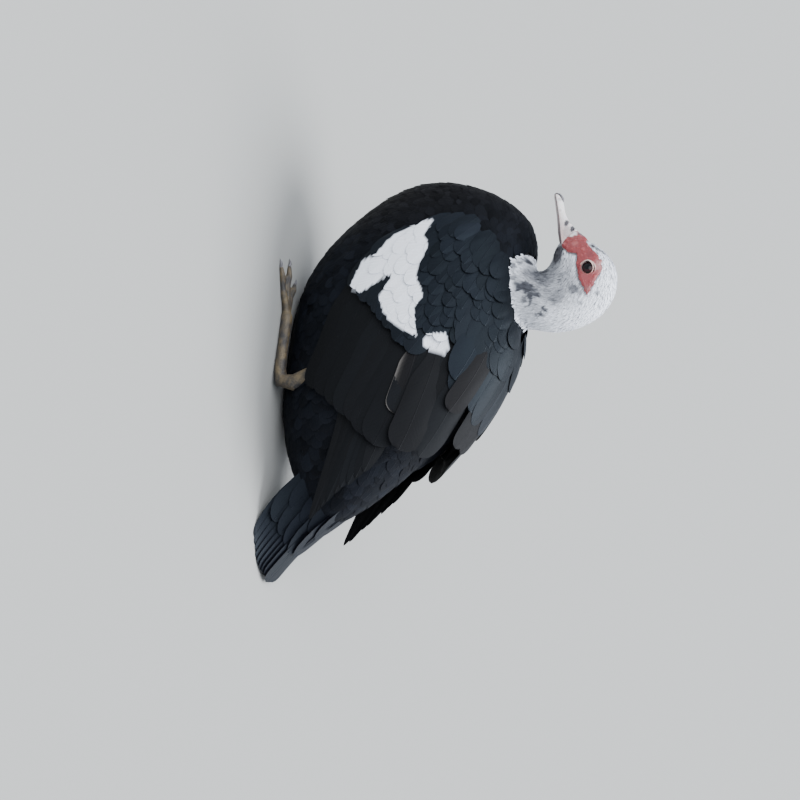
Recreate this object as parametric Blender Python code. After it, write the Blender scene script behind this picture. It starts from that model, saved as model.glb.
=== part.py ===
# A muscovy duck at life size, resting on its belly, its feet and the tip of its tail.
# Units are metres. The bird faces -X, its left side is at -Y, and +Z is up.
# The origin is the middle of the flat that the belly rests on.

import math
import random

import bmesh
import bpy
from mathutils import Vector
from mathutils.bvhtree import BVHTree

GAP = 0.0003                    # clearance kept between touching nodes
SEED = 7

# Each finish: its colour and its roughness
FINISHES = {
    "black_plumage": ((0.012, 0.013, 0.017), 0.45),
    "white_plumage": ((0.78, 0.79, 0.82), 0.70),
    "bill_horn": ((0.72, 0.52, 0.50), 0.40),
    "nail_horn": ((0.08, 0.07, 0.07), 0.35),
    "eye_dark": ((0.03, 0.015, 0.010), 0.10),
    "face_skin": ((0.52, 0.075, 0.065), 0.50),
    "leg_scales": ((0.18, 0.14, 0.07), 0.50),
}
SHARP_ANGLE = math.radians(35)  # edges sharper than this stay hard in the shading

# Stations of the trunk from the breast back to the rump, seen from the side:
# top point x, z, bottom point x, z, and half the width there
TRUNK = [
    (-0.2080, 0.1570, -0.2080, 0.1550, 0.0010),
    (-0.2025, 0.1930, -0.2035, 0.1200, 0.0310),
    (-0.1880, 0.2270, -0.1880, 0.0840, 0.0500),
    (-0.1610, 0.2550, -0.1520, 0.0430, 0.0640),
    (-0.1180, 0.2620, -0.1080, 0.0110, 0.0720),
    (-0.0550, 0.2560, -0.0550, -0.0030, 0.0750),
    (0.0060, 0.2360, 0.0000, -0.0040, 0.0740),
    (0.0640, 0.1940, 0.0450, -0.0020, 0.0680),
    (0.1100, 0.1480, 0.0860, 0.0060, 0.0560),
    (0.1460, 0.1100, 0.1220, 0.0200, 0.0410),
    (0.1680, 0.0780, 0.1520, 0.0400, 0.0240),
    (0.1740, 0.0620, 0.1720, 0.0600, 0.0010),
]
TRUNK_RINGS = 26
TRUNK_SIDES = 24

# The sheet that the folded wings lie on: it follows the trunk, then runs out past the rump
MANTLE = TRUNK[:6] + [
    (0.0080, 0.2400, 0.0000, -0.0040, 0.0750),
    (0.0670, 0.2060, 0.0450, -0.0020, 0.0710),
    (0.1130, 0.1680, 0.0880, 0.0120, 0.0640),
    (0.1540, 0.1310, 0.1280, 0.0220, 0.0570),
    (0.1940, 0.0960, 0.1700, 0.0240, 0.0490),
    (0.2280, 0.0620, 0.2050, 0.0140, 0.0420),
]

# Stations of the head and the upper neck from the bill back over the bend and down:
# throat point x, z, crown point x, z, and half the width
HEAD = [
    (-0.1400, 0.2855, -0.1530, 0.3050, 0.0098),
    (-0.1370, 0.2825, -0.1450, 0.3150, 0.0142),
    (-0.1320, 0.2805, -0.1325, 0.3345, 0.0185),
    (-0.1260, 0.2795, -0.1115, 0.3500, 0.0222),
    (-0.1195, 0.2785, -0.0840, 0.3515, 0.0242),
    (-0.1135, 0.2755, -0.0600, 0.3380, 0.0257),
    (-0.1085, 0.2715, -0.0460, 0.3140, 0.0272),
    (-0.1095, 0.2650, -0.0415, 0.2890, 0.0290),
    (-0.1215, 0.2555, -0.0455, 0.2610, 0.0320),
    (-0.1300, 0.2350, -0.0480, 0.2350, 0.0350),
]
HEAD_RINGS = 23
HEAD_SIDES = 18
HEAD_END_RING = 13              # the ring where the head ends and the neck begins


def clear_scene():
    for obj in list(bpy.data.objects):
        bpy.data.objects.remove(obj)


def material(name):
    made = bpy.data.materials.get(name)
    if made is None:
        colour, roughness = FINISHES[name]
        made = bpy.data.materials.new(name)
        made.use_nodes = True
        shader = made.node_tree.nodes["Principled BSDF"]
        shader.inputs["Base Color"].default_value = (*colour, 1.0)
        shader.inputs["Roughness"].default_value = roughness
        shader.inputs["Metallic"].default_value = 0.0
    return made


def mesh_object(name, bm, finish=None):
    bmesh.ops.recalc_face_normals(bm, faces=bm.faces)
    mesh = bpy.data.meshes.new(name)
    bm.to_mesh(mesh)
    bm.free()
    obj = bpy.data.objects.new(name, mesh)
    bpy.context.scene.collection.objects.link(obj)
    if finish is not None:
        mesh.materials.append(finish)
    return obj


def lerp(a, b, t):
    return a + (b - a) * t


def along(stations, u):
    """The station at u, where whole numbers are the listed ones, by a smooth curve through them."""
    last = len(stations) - 1
    u = min(max(u, 0.0), float(last))
    i = min(int(u), last - 1)
    t = u - i
    a, b, c, d = (stations[min(max(k, 0), last)] for k in (i - 1, i, i + 1, i + 2))
    return [
        0.5 * (2 * q + (r - p) * t + (2 * p - 5 * q + 4 * r - s) * t * t
               + (3 * q - p - 3 * r + s) * t ** 3)
        for p, q, r, s in zip(a, b, c, d)
    ]


def ring_point(station, angle):
    """A point of a section. Angle 0 is its top and 90 degrees the bird's left side."""
    x_top, z_top, x_low, z_low, wide = station
    c, s = math.cos(angle), math.sin(angle)
    mid = Vector(((x_top + x_low) / 2, 0.0, (z_top + z_low) / 2))
    up = Vector(((x_top - x_low) / 2, 0.0, (z_top - z_low) / 2))
    return mid + up * c + Vector((0.0, -wide * s, 0.0))


def rings_of(stations, count, sides):
    last = len(stations) - 1
    return [
        [ring_point(along(stations, last * i / count), 2 * math.pi * k / sides)
         for k in range(sides)]
        for i in range(count + 1)
    ]


def skin_rings(rings):
    """A closed body through the rings, with flat ends."""
    bm = bmesh.new()
    rows = [[bm.verts.new(p) for p in ring] for ring in rings]
    for low, high in zip(rows, rows[1:]):
        for k in range(len(low)):
            n = (k + 1) % len(low)
            bm.faces.new((low[k], low[n], high[n], high[k]))
    for end in (rows[0], rows[-1]):
        middle = bm.verts.new(sum((v.co for v in end), Vector()) / len(end))
        for k in range(len(end)):
            bm.faces.new((end[k], end[(k + 1) % len(end)], middle))
    bmesh.ops.recalc_face_normals(bm, faces=bm.faces)
    return bm


def inflated(bm, by):
    """A copy of a body whose skin stands out by this much."""
    copy = bm.copy()
    copy.normal_update()
    moved = [(v, v.co + v.normal * by) for v in copy.verts]
    for v, place in moved:
        v.co = place
    return copy


def cut_flat(obj, level=0.0):
    """Cuts off what lies below the level and closes the cut with a flat."""
    bm = bmesh.new()
    bm.from_mesh(obj.data)
    geometry = bm.verts[:] + bm.edges[:] + bm.faces[:]
    cut = bmesh.ops.bisect_plane(
        bm, geom=geometry, dist=1e-6, plane_co=(0, 0, level), plane_no=(0, 0, 1),
        clear_inner=True)
    rim = [e for e in cut["geom_cut"] if isinstance(e, bmesh.types.BMEdge) and e.is_boundary]
    bmesh.ops.edgenet_fill(bm, edges=rim)
    bmesh.ops.recalc_face_normals(bm, faces=bm.faces)
    bm.to_mesh(obj.data)
    bm.free()


def apply_boolean(obj, operation, others):
    """Joins others to obj, or cuts them from it, and removes them."""
    group = bpy.data.collections.new("joined")
    for other in others:
        for home in list(other.users_collection):
            home.objects.unlink(other)
        group.objects.link(other)
    bpy.context.scene.collection.children.link(group)
    step = obj.modifiers.new("Join", "BOOLEAN")
    step.operand_type = "COLLECTION"
    step.collection = group
    step.operation = operation
    step.solver = "MANIFOLD"
    graph = bpy.context.evaluated_depsgraph_get()
    mesh = bpy.data.meshes.new_from_object(obj.evaluated_get(graph))
    finish = list(obj.data.materials)
    obj.modifiers.clear()
    obj.data = mesh
    obj.data.materials.clear()
    for slot in finish:
        obj.data.materials.append(slot)
    for other in list(group.objects):
        bpy.data.objects.remove(other)
    bpy.data.collections.remove(group)
    keep_largest(obj)


def keep_largest(obj):
    """Keeps the largest closed surface of a joined body."""
    bm = bmesh.new()
    bm.from_mesh(obj.data)
    bmesh.ops.triangulate(bm, faces=bm.faces)
    left = set(bm.verts)
    shells = []
    while left:
        start = left.pop()
        shell, edge = [start], [start]
        while edge:
            v = edge.pop()
            for e in v.link_edges:
                o = e.other_vert(v)
                if o in left:
                    left.discard(o)
                    shell.append(o)
                    edge.append(o)
        shells.append(shell)
    if len(shells) > 1:
        biggest = max(shells, key=box_size)
        scrap = [v for shell in shells if shell is not biggest for v in shell]
        bmesh.ops.delete(bm, geom=scrap, context="VERTS")
    bm.to_mesh(obj.data)
    bm.free()


def box_size(verts):
    sizes = [max(v.co[i] for v in verts) - min(v.co[i] for v in verts) for i in range(3)]
    return sum(sizes)


def shade(obj):
    obj.data.shade_smooth()
    obj.data.set_sharp_from_angle(angle=SHARP_ANGLE)


def ball(name, centre, radii, rings, sides):
    bm = bmesh.new()
    bmesh.ops.create_uvsphere(bm, u_segments=sides, v_segments=rings, radius=1.0)
    for v in bm.verts:
        v.co = Vector(v.co[i] * radii[i] + centre[i] for i in range(3))
    return mesh_object(name, bm)


def tube(name, points, radii, sides):
    """A round limb through the points, with the radius given at each."""
    rings = []
    side = None
    for i, (p, r) in enumerate(zip(points, radii)):
        ahead = Vector(points[min(i + 1, len(points) - 1)]) - Vector(points[max(i - 1, 0)])
        turned = ahead.cross(Vector((0, 0, 1))).normalized()
        # the ring is never turned half round against the one before it, or the limb would twist
        side = -turned if side is not None and turned.dot(side) < 0 else turned
        up = side.cross(ahead).normalized()
        rings.append([
            Vector(p) + (side * math.cos(a) + up * math.sin(a)) * r
            for a in (2 * math.pi * k / sides for k in range(sides))
        ])
    return mesh_object(name, skin_rings(rings))


STATION_STEP = 0.05             # how far apart two places are read to find how a sheet runs
ANGLE_STEP = 2.0                # the same round a section, in degrees


def on_sheet(stations, u, angle, side, lift):
    """The point at station u and at this angle from the back's middle, lifted off the sheet."""
    a, turn = math.radians(angle), math.radians(ANGLE_STEP)
    here = ring_point(along(stations, u), a)
    du = (ring_point(along(stations, u + STATION_STEP), a)
          - ring_point(along(stations, u - STATION_STEP), a))
    da = ring_point(along(stations, u), a + turn) - ring_point(along(stations, u), a - turn)
    out = da.cross(du).normalized()
    mid = ring_point(along(stations, u), 0) + ring_point(along(stations, u), math.pi)
    if out.dot(here - mid / 2) < 0:
        out = -out
    place = here + out * lift
    return Vector((place.x, place.y * side, place.z))


VANE_THICK = 0.0008             # thickness of a feather vane
VANE_CROWN = 0.0006             # how far the middle of a long vane stands above its edges

# Half the breadth of a vane at steps from root to tip, as a share of its widest
LONG_BLADE = (0.55, 0.92, 1.0, 0.80, 0.26)
SHORT_BLADE = (0.60, 1.0, 0.88, 0.36)

VANE_STEP = 0.02                # share of a vane's length over which its direction is read
TIP_STATION = 0.03              # how far the tips in a row stray from an even line, in stations
TIP_ANGLE = 0.6                 # the same in degrees
UNEVEN = 0.04                   # how much the vanes of a row differ in breadth


def vane(centre_at, breadth, lifts, roll, blade):
    """A flat feather. centre_at(t, across, lift) places a point of it, roll raises one edge."""
    rows = []
    last = len(blade) - 1
    sides = (-1.0, 0.0, 1.0) if blade is LONG_BLADE else (-1.0, 1.0)
    for i, share in enumerate(blade):
        t = i / last
        row = []
        for side in sides:
            across = side * share * breadth / 2
            crown = (1 - abs(side)) * VANE_CROWN
            row.append((t, across, lerp(*lifts, t) + roll * across + crown))
        rows.append(row)
    bm = bmesh.new()
    top = [[bm.verts.new(centre_at(t, a, h)) for t, a, h in row] for row in rows]
    low = [[bm.verts.new(centre_at(t, a, h - VANE_THICK)) for t, a, h in row] for row in rows]
    for sheet, flip in ((top, False), (low, True)):
        for r, n in zip(sheet, sheet[1:]):
            for k in range(len(sides) - 1):
                for tri in ((r[k], r[k + 1], n[k + 1]), (r[k], n[k + 1], n[k])):
                    bm.faces.new(tri[::-1] if flip else tri)
    for k in (0, len(sides) - 1):
        for i in range(last):
            bm.faces.new((top[i][k], top[i + 1][k], low[i + 1][k], low[i][k]))
    for i in (0, last):
        for k in range(len(sides) - 1):
            bm.faces.new((top[i][k], top[i][k + 1], low[i][k + 1], low[i][k]))
    return mesh_object("vane", bm)


def sheet_vane(stations, root, tip, side, breadth, lifts, roll, blade):
    """A vane that lies on a sheet from root to tip, both given as station and angle."""
    def centre_at(t, across, lift):
        u, angle = lerp(root[0], tip[0], t), lerp(root[1], tip[1], t)
        step_u, step_a = ((tip[i] - root[i]) * VANE_STEP for i in (0, 1))
        ahead = (on_sheet(stations, u + step_u, angle + step_a, side, lift)
                 - on_sheet(stations, u - step_u, angle - step_a, side, lift))
        # how far one degree and one station reach, to step across the vane along the sheet
        by_angle = (on_sheet(stations, u, angle + 1, side, lift)
                    - on_sheet(stations, u, angle - 1, side, lift)) / 2
        by_station = (on_sheet(stations, u + STATION_STEP, angle, side, lift)
                      - on_sheet(stations, u - STATION_STEP, angle, side, lift)) / (2 * STATION_STEP)
        ahead.normalize()
        out = by_angle.cross(by_station).normalized()
        cross = out.cross(ahead).normalized() * side
        # solve cross = a * by_angle + b * by_station in the sheet
        aa, bb = by_angle.dot(by_angle), by_station.dot(by_station)
        ab = by_angle.dot(by_station)
        ca, cb = cross.dot(by_angle), cross.dot(by_station)
        det = aa * bb - ab * ab
        a = (ca * bb - cb * ab) / det
        b = (cb * aa - ca * ab) / det
        return on_sheet(stations, u + b * across, angle + a * across, side, lift)
    return vane(centre_at, breadth, lifts, roll, blade)


def tier(stations, side, count, roots, tips, breadths, lifts, roll, blade, chance):
    """A row of overlapping vanes between a first and a last one."""
    made = []
    for i in range(count):
        t = i / (count - 1)
        root = (lerp(roots[0][0], roots[1][0], t), lerp(roots[0][1], roots[1][1], t))
        tip = (lerp(tips[0][0], tips[1][0], t) + chance.uniform(-TIP_STATION, TIP_STATION),
               lerp(tips[0][1], tips[1][1], t) + chance.uniform(-TIP_ANGLE, TIP_ANGLE))
        breadth = lerp(breadths[0], breadths[1], t) * chance.uniform(1 - UNEVEN, 1 + UNEVEN)
        made.append(sheet_vane(stations, root, tip, side, breadth, lifts, roll, blade))
    return made


# The pad of the folded arm: stations it spans, and its upper and lower edge angles from front to back
PAD_SPAN = (3.30, 7.90)
PAD_UPPER = (66, 36, 22, 18, 20, 30)
PAD_LOWER = (86, 106, 112, 104, 92, 74)
PAD_LIFT = (0.0055, 0.0170)     # how far the pad swells out of the trunk at its front and its rear
PAD_LIFT_GROWTH = 3             # the power by which that swell grows towards the rear
PAD_RIM = -0.0015               # level of its rim, just inside the trunk
PAD_ROOT = -0.0080              # level of its inner face, sunk in the trunk
PAD_FLATNESS = (5, 4)           # how flat it stays before it falls off to its ends and to its edges
PAD_STEPS = (10, 6)

# Each tier of the wing: how many vanes, the station and angle of the first and last root and tip,
# first and last breadth, lift at root and tip, roll, and the blade
WING_TIERS = {
    "primaries": (4, ((6.3, 92), (6.3, 74)), ((9.9, 80), (8.9, 62)), (0.022, 0.026),
                  (-0.002, 0.001), 0.08, LONG_BLADE),
    "secondaries": (6, ((4.7, 106), (5.8, 64)), ((6.9, 113), (7.95, 60)), (0.036, 0.040),
                    (0.002, 0.006), 0.08, LONG_BLADE),
    "tertials": (4, ((5.5, 60), (5.3, 42)), ((7.2, 53), (7.8, 30)), (0.032, 0.038),
                 (0.004, 0.009), 0.08, LONG_BLADE),
    "greater_coverts": (5, ((3.9, 90), (5.4, 62)), ((4.9, 109), (6.1, 70)), (0.031, 0.029),
                        (0.005, 0.0100), 0.09, SHORT_BLADE),
    "median_coverts": (5, ((3.5, 76), (5.2, 56)), ((4.35, 94), (5.75, 62)), (0.027, 0.027),
                       (0.0055, 0.0110), 0.09, SHORT_BLADE),
    "lesser_scapulars": (4, ((3.5, 60), (4.7, 38)), ((4.4, 74), (5.9, 52)), (0.036, 0.040),
                         (0.0055, 0.0110), 0.07, SHORT_BLADE),
    "scapulars": (3, ((4.3, 40), (5.2, 20)), ((6.1, 46), (6.9, 22)), (0.042, 0.042),
                  (0.0055, 0.0100), 0.07, SHORT_BLADE),
}

# The tail lies like a tent over the rump and flattens to its tips on the floor. For the middle
# feather and for the outermost: its root and its tip, with y as the distance from the middle
TAIL_MIDDLE = (Vector((0.1500, 0.0, 0.0860)), Vector((0.2370, 0.0, 0.0040)))
TAIL_OUTER = (Vector((0.1260, 0.0280, 0.0480)), Vector((0.2040, 0.0370, 0.0060)))
TAIL_SAG = 0.0060               # how far the fan hangs through half way along
TAIL_STRAY = 0.02               # how much the rectrices differ in length
# Each row of the tail: how many vanes, how far out the outermost are, where along the sheet they
# start and end, their breadth, the level of the middle one's root and tip, how much lower the
# outermost lie, how steeply they tilt, and the blade
TAIL_TIERS = (
    (10, 1.0, 0.0, 1.00, 0.029, (0.0, 0.0), 0.0060, 0.08, LONG_BLADE),
    (5, 0.9, -0.20, 0.62, 0.030, (0.0056, 0.0080), 0.0030, 0.09, SHORT_BLADE),
    (4, 0.9, -0.20, 0.60, 0.032, (-0.0105, -0.0150), 0.0030, 0.09, SHORT_BLADE),
)
# The fleshy end of the rump that the feathers grow from: its radii, how far along the sheet its
# middle is, and how far below the sheet
TAIL_CORE_RADII = (0.034, 0.022, 0.036)
TAIL_CORE_PLACE = 0.10
TAIL_CORE_DROP = 0.021

# The bill from the gape to the tip: x, ridge z, mouth line z, half the width, depth of the lower half
BILL = [
    (-0.1330, 0.3090, 0.2925, 0.0160, 0.0040),
    (-0.1420, 0.3082, 0.2905, 0.0152, 0.0040),
    (-0.1500, 0.3066, 0.2885, 0.0136, 0.0042),
    (-0.1560, 0.3028, 0.2872, 0.0122, 0.0040),
    (-0.1620, 0.2976, 0.2858, 0.0112, 0.0036),
    (-0.1690, 0.2920, 0.2842, 0.0104, 0.0032),
    (-0.1780, 0.2874, 0.2820, 0.0099, 0.0030),
    (-0.1870, 0.2850, 0.2798, 0.0097, 0.0028),
    (-0.1930, 0.2830, 0.2778, 0.0086, 0.0024),
    (-0.1966, 0.2808, 0.2765, 0.0062, 0.0018),
    (-0.1983, 0.2790, 0.2758, 0.0028, 0.0010),
]
BILL_ARC = 8                    # steps over the bill's round side
LOWER_BILL_SHARE = 0.90         # width of the lower half as a share of the upper's
LOWER_BILL_ROUND = 0.80         # under 1 makes its section fuller than an ellipse
NOSTRIL = Vector((-0.1560, 0.0070, 0.3000))
NOSTRIL_RADII = (0.0030, 0.0020, 0.0014)
NAIL = [(-0.1905, 0.2844), (-0.1942, 0.2832), (-0.1974, 0.2805), (-0.1990, 0.2768), (-0.1987, 0.2736)]
NAIL_RADII = (0.0006, 0.0014, 0.0016, 0.0013, 0.0004)
NAIL_WIDEN = 3.0                # how much wider than thick the nail is

EYE = Vector((-0.1030, 0.0168, 0.3255))
EYE_RADIUS = 0.0094
LID_RADIUS = 0.0082             # from the eye's middle to the middle of the lid's rim
LID_THICK = 0.0014
LID_PLANE = 0.0234              # distance of the lid's rim from the middle of the head
LID_LEAN = (-0.0006, -0.0016)   # how far the rim leans in at its rear and at its top
LID_HEIGHT = 0.94               # height of the opening as a share of its length
LID_STEPS = 16
LID_SIDES = 6

# The bare red skin: its outline on the side of the head as x, z, and the bulbs on it as x, z, radius
FACE_OUTLINE = [
    (-0.1570, 0.3020), (-0.1570, 0.3085), (-0.1430, 0.3160), (-0.1330, 0.3210), (-0.1250, 0.3280),
    (-0.1130, 0.3385), (-0.1010, 0.3395), (-0.0880, 0.3340), (-0.0730, 0.3275), (-0.0850, 0.3205),
    (-0.0980, 0.3150), (-0.1200, 0.3115), (-0.1230, 0.3020), (-0.1300, 0.2935), (-0.1385, 0.2925),
    (-0.1450, 0.2970), (-0.1520, 0.3020),
]
FACE_THICK = 0.0013
FACE_DEPTHS = (0.0004, 0.0600)  # from the middle of the head out, what one side's skin may take
BULB_SHAPE = (1.25, 1.0, 1.1)   # radii of a bulb along X, Y and Z as shares of its own
FACE_BULBS = [
    (-0.1452, 0.3118, 0.0021), (-0.1412, 0.3138, 0.0022), (-0.1372, 0.3162, 0.0022),
    (-0.1402, 0.3085, 0.0021), (-0.1362, 0.3110, 0.0022), (-0.1352, 0.3050, 0.0022),
    (-0.1305, 0.2995, 0.0021), (-0.1290, 0.3210, 0.0021), (-0.1215, 0.3280, 0.0021),
    (-0.1275, 0.3110, 0.0021), (-0.0880, 0.3285, 0.0019), (-0.0950, 0.3195, 0.0019),
]

# The legs are folded: the shank lies on the floor beside the belly, from the hock forward to the toes
LEG_PATH = [
    (0.0260, 0.0500, 0.0420), (0.0330, 0.0490, 0.0240), (0.0300, 0.0485, 0.0100),
    (0.0180, 0.0485, 0.0068), (-0.0080, 0.0485, 0.0060), (-0.0360, 0.0485, 0.0060),
]
LEG_RADII = (0.0100, 0.0090, 0.0080, 0.0064, 0.0056, 0.0060)
ANKLE = Vector((-0.0363, 0.0485, 0.0060))
TOE_ROOT = Vector((-0.0460, 0.0485, 0.0050))
TOES = {                        # end of each front toe's flesh, x and y
    "inner": (-0.0860, 0.0310),
    "middle": (-0.0990, 0.0510),
    "outer": (-0.0900, 0.0720),
}
TOE_RADII = (0.0048, 0.0034, 0.0038, 0.0029, 0.0032, 0.0022)
TOE_END_LEVEL = 0.0018          # height of the middle of a toe's end, just under its radius
TOE_WAVE = 0.0008               # how far a toe rises and falls at its joints
# The joint between the shank and the toes
JOINT_PATH = (ANKLE, Vector((-0.0421, 0.0485, 0.0060)), Vector((-0.0500, 0.0485, 0.0040)))
JOINT_RADII = (0.0060, 0.0062, 0.0040)
HIND_TOE = (Vector((-0.0440, 0.0450, 0.0056)), Vector((-0.0310, 0.0370, 0.0034)))
HIND_RADII = (0.0028, 0.0020)
WEB_LEVELS = (-0.0010, 0.0016)  # its underside, cut off at the floor, and its upper side
WEB_REACH = 0.90                # how far along the toes the web goes
WEB_HOLLOW = 0.16               # how far its front edge hangs back between two toes
WEB_STEPS = 6
CLAW_LENGTH = 0.0090
CLAW_RADIUS = 0.0020
CLAW_STEPS = (0.0, 0.1, 0.4, 0.7, 1.0)
CLAW_TAPER = (0.95, 0.93, 0.80, 0.50, 0.14)
CLAW_TIP = 0.0008               # height of the tip's middle over the floor
CLAW_FALL = 1.6                 # over 1 keeps the claw high before it curves down
CLAW_ARCH = 0.0010              # how far it arches up on its way


def make_trunk():
    bm = skin_rings(rings_of(TRUNK, TRUNK_RINGS, TRUNK_SIDES))
    body = mesh_object("torso", bm, material("black_plumage"))
    cut_flat(body)


def trunk_copy(by):
    bm = skin_rings(rings_of(TRUNK, TRUNK_RINGS, TRUNK_SIDES))
    grown = inflated(bm, by)
    bm.free()
    return mesh_object("trunk_copy", grown)


def make_head_and_neck():
    rings = rings_of(HEAD, HEAD_RINGS, HEAD_SIDES)
    white = material("white_plumage")
    head = mesh_object("head", skin_rings(rings[:HEAD_END_RING + 1]), white)
    neck_rings = rings[HEAD_END_RING:]
    first, second = neck_rings[0], neck_rings[1]
    neck_rings[0] = [p + (q - p).normalized() * GAP for p, q in zip(first, second)]
    neck = mesh_object("neck", skin_rings(neck_rings), white)
    apply_boolean(neck, "DIFFERENCE", [trunk_copy(GAP)])
    return head, neck


def wing_pad(side):
    """The folded arm as a pad that swells out of the trunk's side."""
    along_steps, across_steps = PAD_STEPS
    outer, inner = [], []
    for i in range(along_steps + 1):
        a = i / along_steps
        u = lerp(PAD_SPAN[0], PAD_SPAN[1], a)
        place = a * (len(PAD_UPPER) - 1)
        upper = along([(v,) for v in PAD_UPPER], place)[0]
        lower = along([(v,) for v in PAD_LOWER], place)[0]
        row_out, row_in = [], []
        for k in range(across_steps + 1):
            b = k / across_steps
            angle = lerp(upper, lower, b)
            swell = (1 - abs(2 * a - 1) ** PAD_FLATNESS[0]) * (1 - abs(2 * b - 1) ** PAD_FLATNESS[1])
            lift = lerp(PAD_RIM, lerp(*PAD_LIFT, a ** PAD_LIFT_GROWTH), swell)
            row_out.append(on_sheet(TRUNK, u, angle, side, lift))
            row_in.append(on_sheet(TRUNK, u, angle, side, PAD_ROOT))
        outer.append(row_out)
        inner.append(row_in)
    bm = bmesh.new()
    top = [[bm.verts.new(p) for p in row] for row in outer]
    low = [[bm.verts.new(p) for p in row] for row in inner]
    for sheet, flip in ((top, False), (low, True)):
        for r, n in zip(sheet, sheet[1:]):
            for k in range(across_steps):
                quad = (r[k], r[k + 1], n[k + 1], n[k])
                bm.faces.new(quad[::-1] if flip else quad)
    for i in range(along_steps):
        for k in (0, across_steps):
            bm.faces.new((top[i][k], top[i + 1][k], low[i + 1][k], low[i][k]))
    for i in (0, along_steps):
        for k in range(across_steps):
            bm.faces.new((top[i][k], top[i][k + 1], low[i][k + 1], low[i][k]))
    return mesh_object("pad", bm)


def make_wing(name, side):
    chance = random.Random(SEED + side)
    pieces = []
    for sizes in WING_TIERS.values():
        pieces += tier(MANTLE, side, *sizes, chance)
    wing = wing_pad(side)
    wing.name = wing.data.name = name
    wing.data.materials.append(material("black_plumage"))
    apply_boolean(wing, "UNION", pieces)
    apply_boolean(wing, "DIFFERENCE", [trunk_copy(GAP)])


def tail_sheet(place, t):
    """A point of the tail's sheet: place runs from -1 to 1 over the fan, t from roots to tips."""
    share = place * place
    mid, outer = TAIL_MIDDLE, TAIL_OUTER
    ends = []
    for a, b in zip(mid, outer):
        ends.append(Vector((lerp(a.x, b.x, share), b.y * place, lerp(a.z, b.z, share))))
    sag = TAIL_SAG * math.sin(math.pi * min(max(t, 0), 1))
    return ends[0].lerp(ends[1], t) - Vector((0, 0, sag))


def tail_vane(place, start, reach, breadth, lifts, roll, blade):
    def centre_at(t, across, lift):
        run = lerp(start, reach, t)
        beside = tail_sheet(place + VANE_STEP, run) - tail_sheet(place - VANE_STEP, run)
        ahead = tail_sheet(place, run + VANE_STEP) - tail_sheet(place, run - VANE_STEP)
        beside.normalize()
        return tail_sheet(place, run) + beside * across + ahead.cross(beside).normalized() * lift
    return vane(centre_at, breadth, lifts, roll, blade)


def tail_core():
    slope = TAIL_MIDDLE[1] - TAIL_MIDDLE[0]
    turn = slope.to_track_quat("Z", "Y")
    middle = TAIL_MIDDLE[0] + slope * TAIL_CORE_PLACE - Vector((0, 0, TAIL_CORE_DROP))
    core = ball("tail", (0, 0, 0), TAIL_CORE_RADII, 8, 12)
    for v in core.data.vertices:
        v.co = middle + turn @ v.co
    core.data.materials.append(material("black_plumage"))
    return core


def make_tail():
    chance = random.Random(SEED)
    tail = tail_core()
    pieces = []
    for count, spread, start, reach, breadth, levels, droop, tilt, blade in TAIL_TIERS:
        for i in range(count):
            place = spread * (2 * i / (count - 1) - 1)
            end = reach * (1 + chance.uniform(-TAIL_STRAY, TAIL_STRAY))
            lifts = [level - droop * abs(place) for level in levels]
            roll = math.copysign(tilt, place)
            pieces.append(tail_vane(place, start, end, breadth, lifts, roll, blade))
    apply_boolean(tail, "UNION", pieces)
    apply_boolean(tail, "DIFFERENCE", [trunk_copy(GAP)])
    cut_flat(tail)


def head_bmesh():
    return skin_rings(rings_of(HEAD, HEAD_RINGS, HEAD_SIDES))


def head_copy(by):
    bm = head_bmesh()
    grown = inflated(bm, by)
    bm.free()
    return mesh_object("head_copy", grown)


def bill_half(name, upper, finish=None, by=0.0):
    """The upper or the lower half of the bill, or a copy that stands out by this much."""
    rings = []
    for x, ridge, mouth, wide, depth in BILL:
        ring = []
        for k in range(BILL_ARC + 1):
            a = math.pi * k / BILL_ARC
            if upper:
                place = (wide * math.cos(a), mouth + (ridge - mouth) * math.sin(a))
            else:
                drop = 2 * GAP + depth * abs(math.sin(a)) ** LOWER_BILL_ROUND
                place = (wide * LOWER_BILL_SHARE * math.cos(a), mouth - drop)
            ring.append(Vector((x, *place)))
        rings.append(ring)
    bm = skin_rings(rings)
    grown = inflated(bm, by)
    bm.free()
    return mesh_object(name, grown, finish)


def nail_form(name, by):
    """The nail at the bill's tip, or a copy that stands out by this much."""
    points = [(x, 0.0, z) for x, z in NAIL]
    nail = tube(name, points, NAIL_RADII, 12)
    for v in nail.data.vertices:
        v.co.y *= NAIL_WIDEN
    bm = bmesh.new()
    bm.from_mesh(nail.data)
    grown = inflated(bm, by)
    grown.to_mesh(nail.data)
    bm.free()
    grown.free()
    return nail


def make_bill():
    horn = material("bill_horn")
    nail = nail_form("bill_nail", 0.0)
    nail.data.materials.append(material("nail_horn"))
    upper = bill_half("bill_upper", True, horn)
    nostrils = [
        ball("nostril", (NOSTRIL.x, NOSTRIL.y * side, NOSTRIL.z), NOSTRIL_RADII, 8, 12)
        for side in (-1, 1)
    ]
    apply_boolean(upper, "DIFFERENCE", [head_copy(GAP), nail_form("nail_cut", GAP), *nostrils])
    lower = bill_half("bill_lower", False, horn)
    apply_boolean(lower, "DIFFERENCE", [head_copy(GAP), nail_form("nail_cut", GAP)])


def eye_ball(name, side, by):
    return ball(name, (EYE.x, -EYE.y * side, EYE.z), [EYE_RADIUS + by] * 3, 10, 14)


def make_eye(name, side):
    eye = eye_ball(name, side, 0.0)
    eye.data.materials.append(material("eye_dark"))


def face_prism(side):
    rings = [[Vector((x, -y * side, z)) for x, z in FACE_OUTLINE] for y in FACE_DEPTHS]
    return mesh_object("prism", skin_rings(rings))


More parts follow.
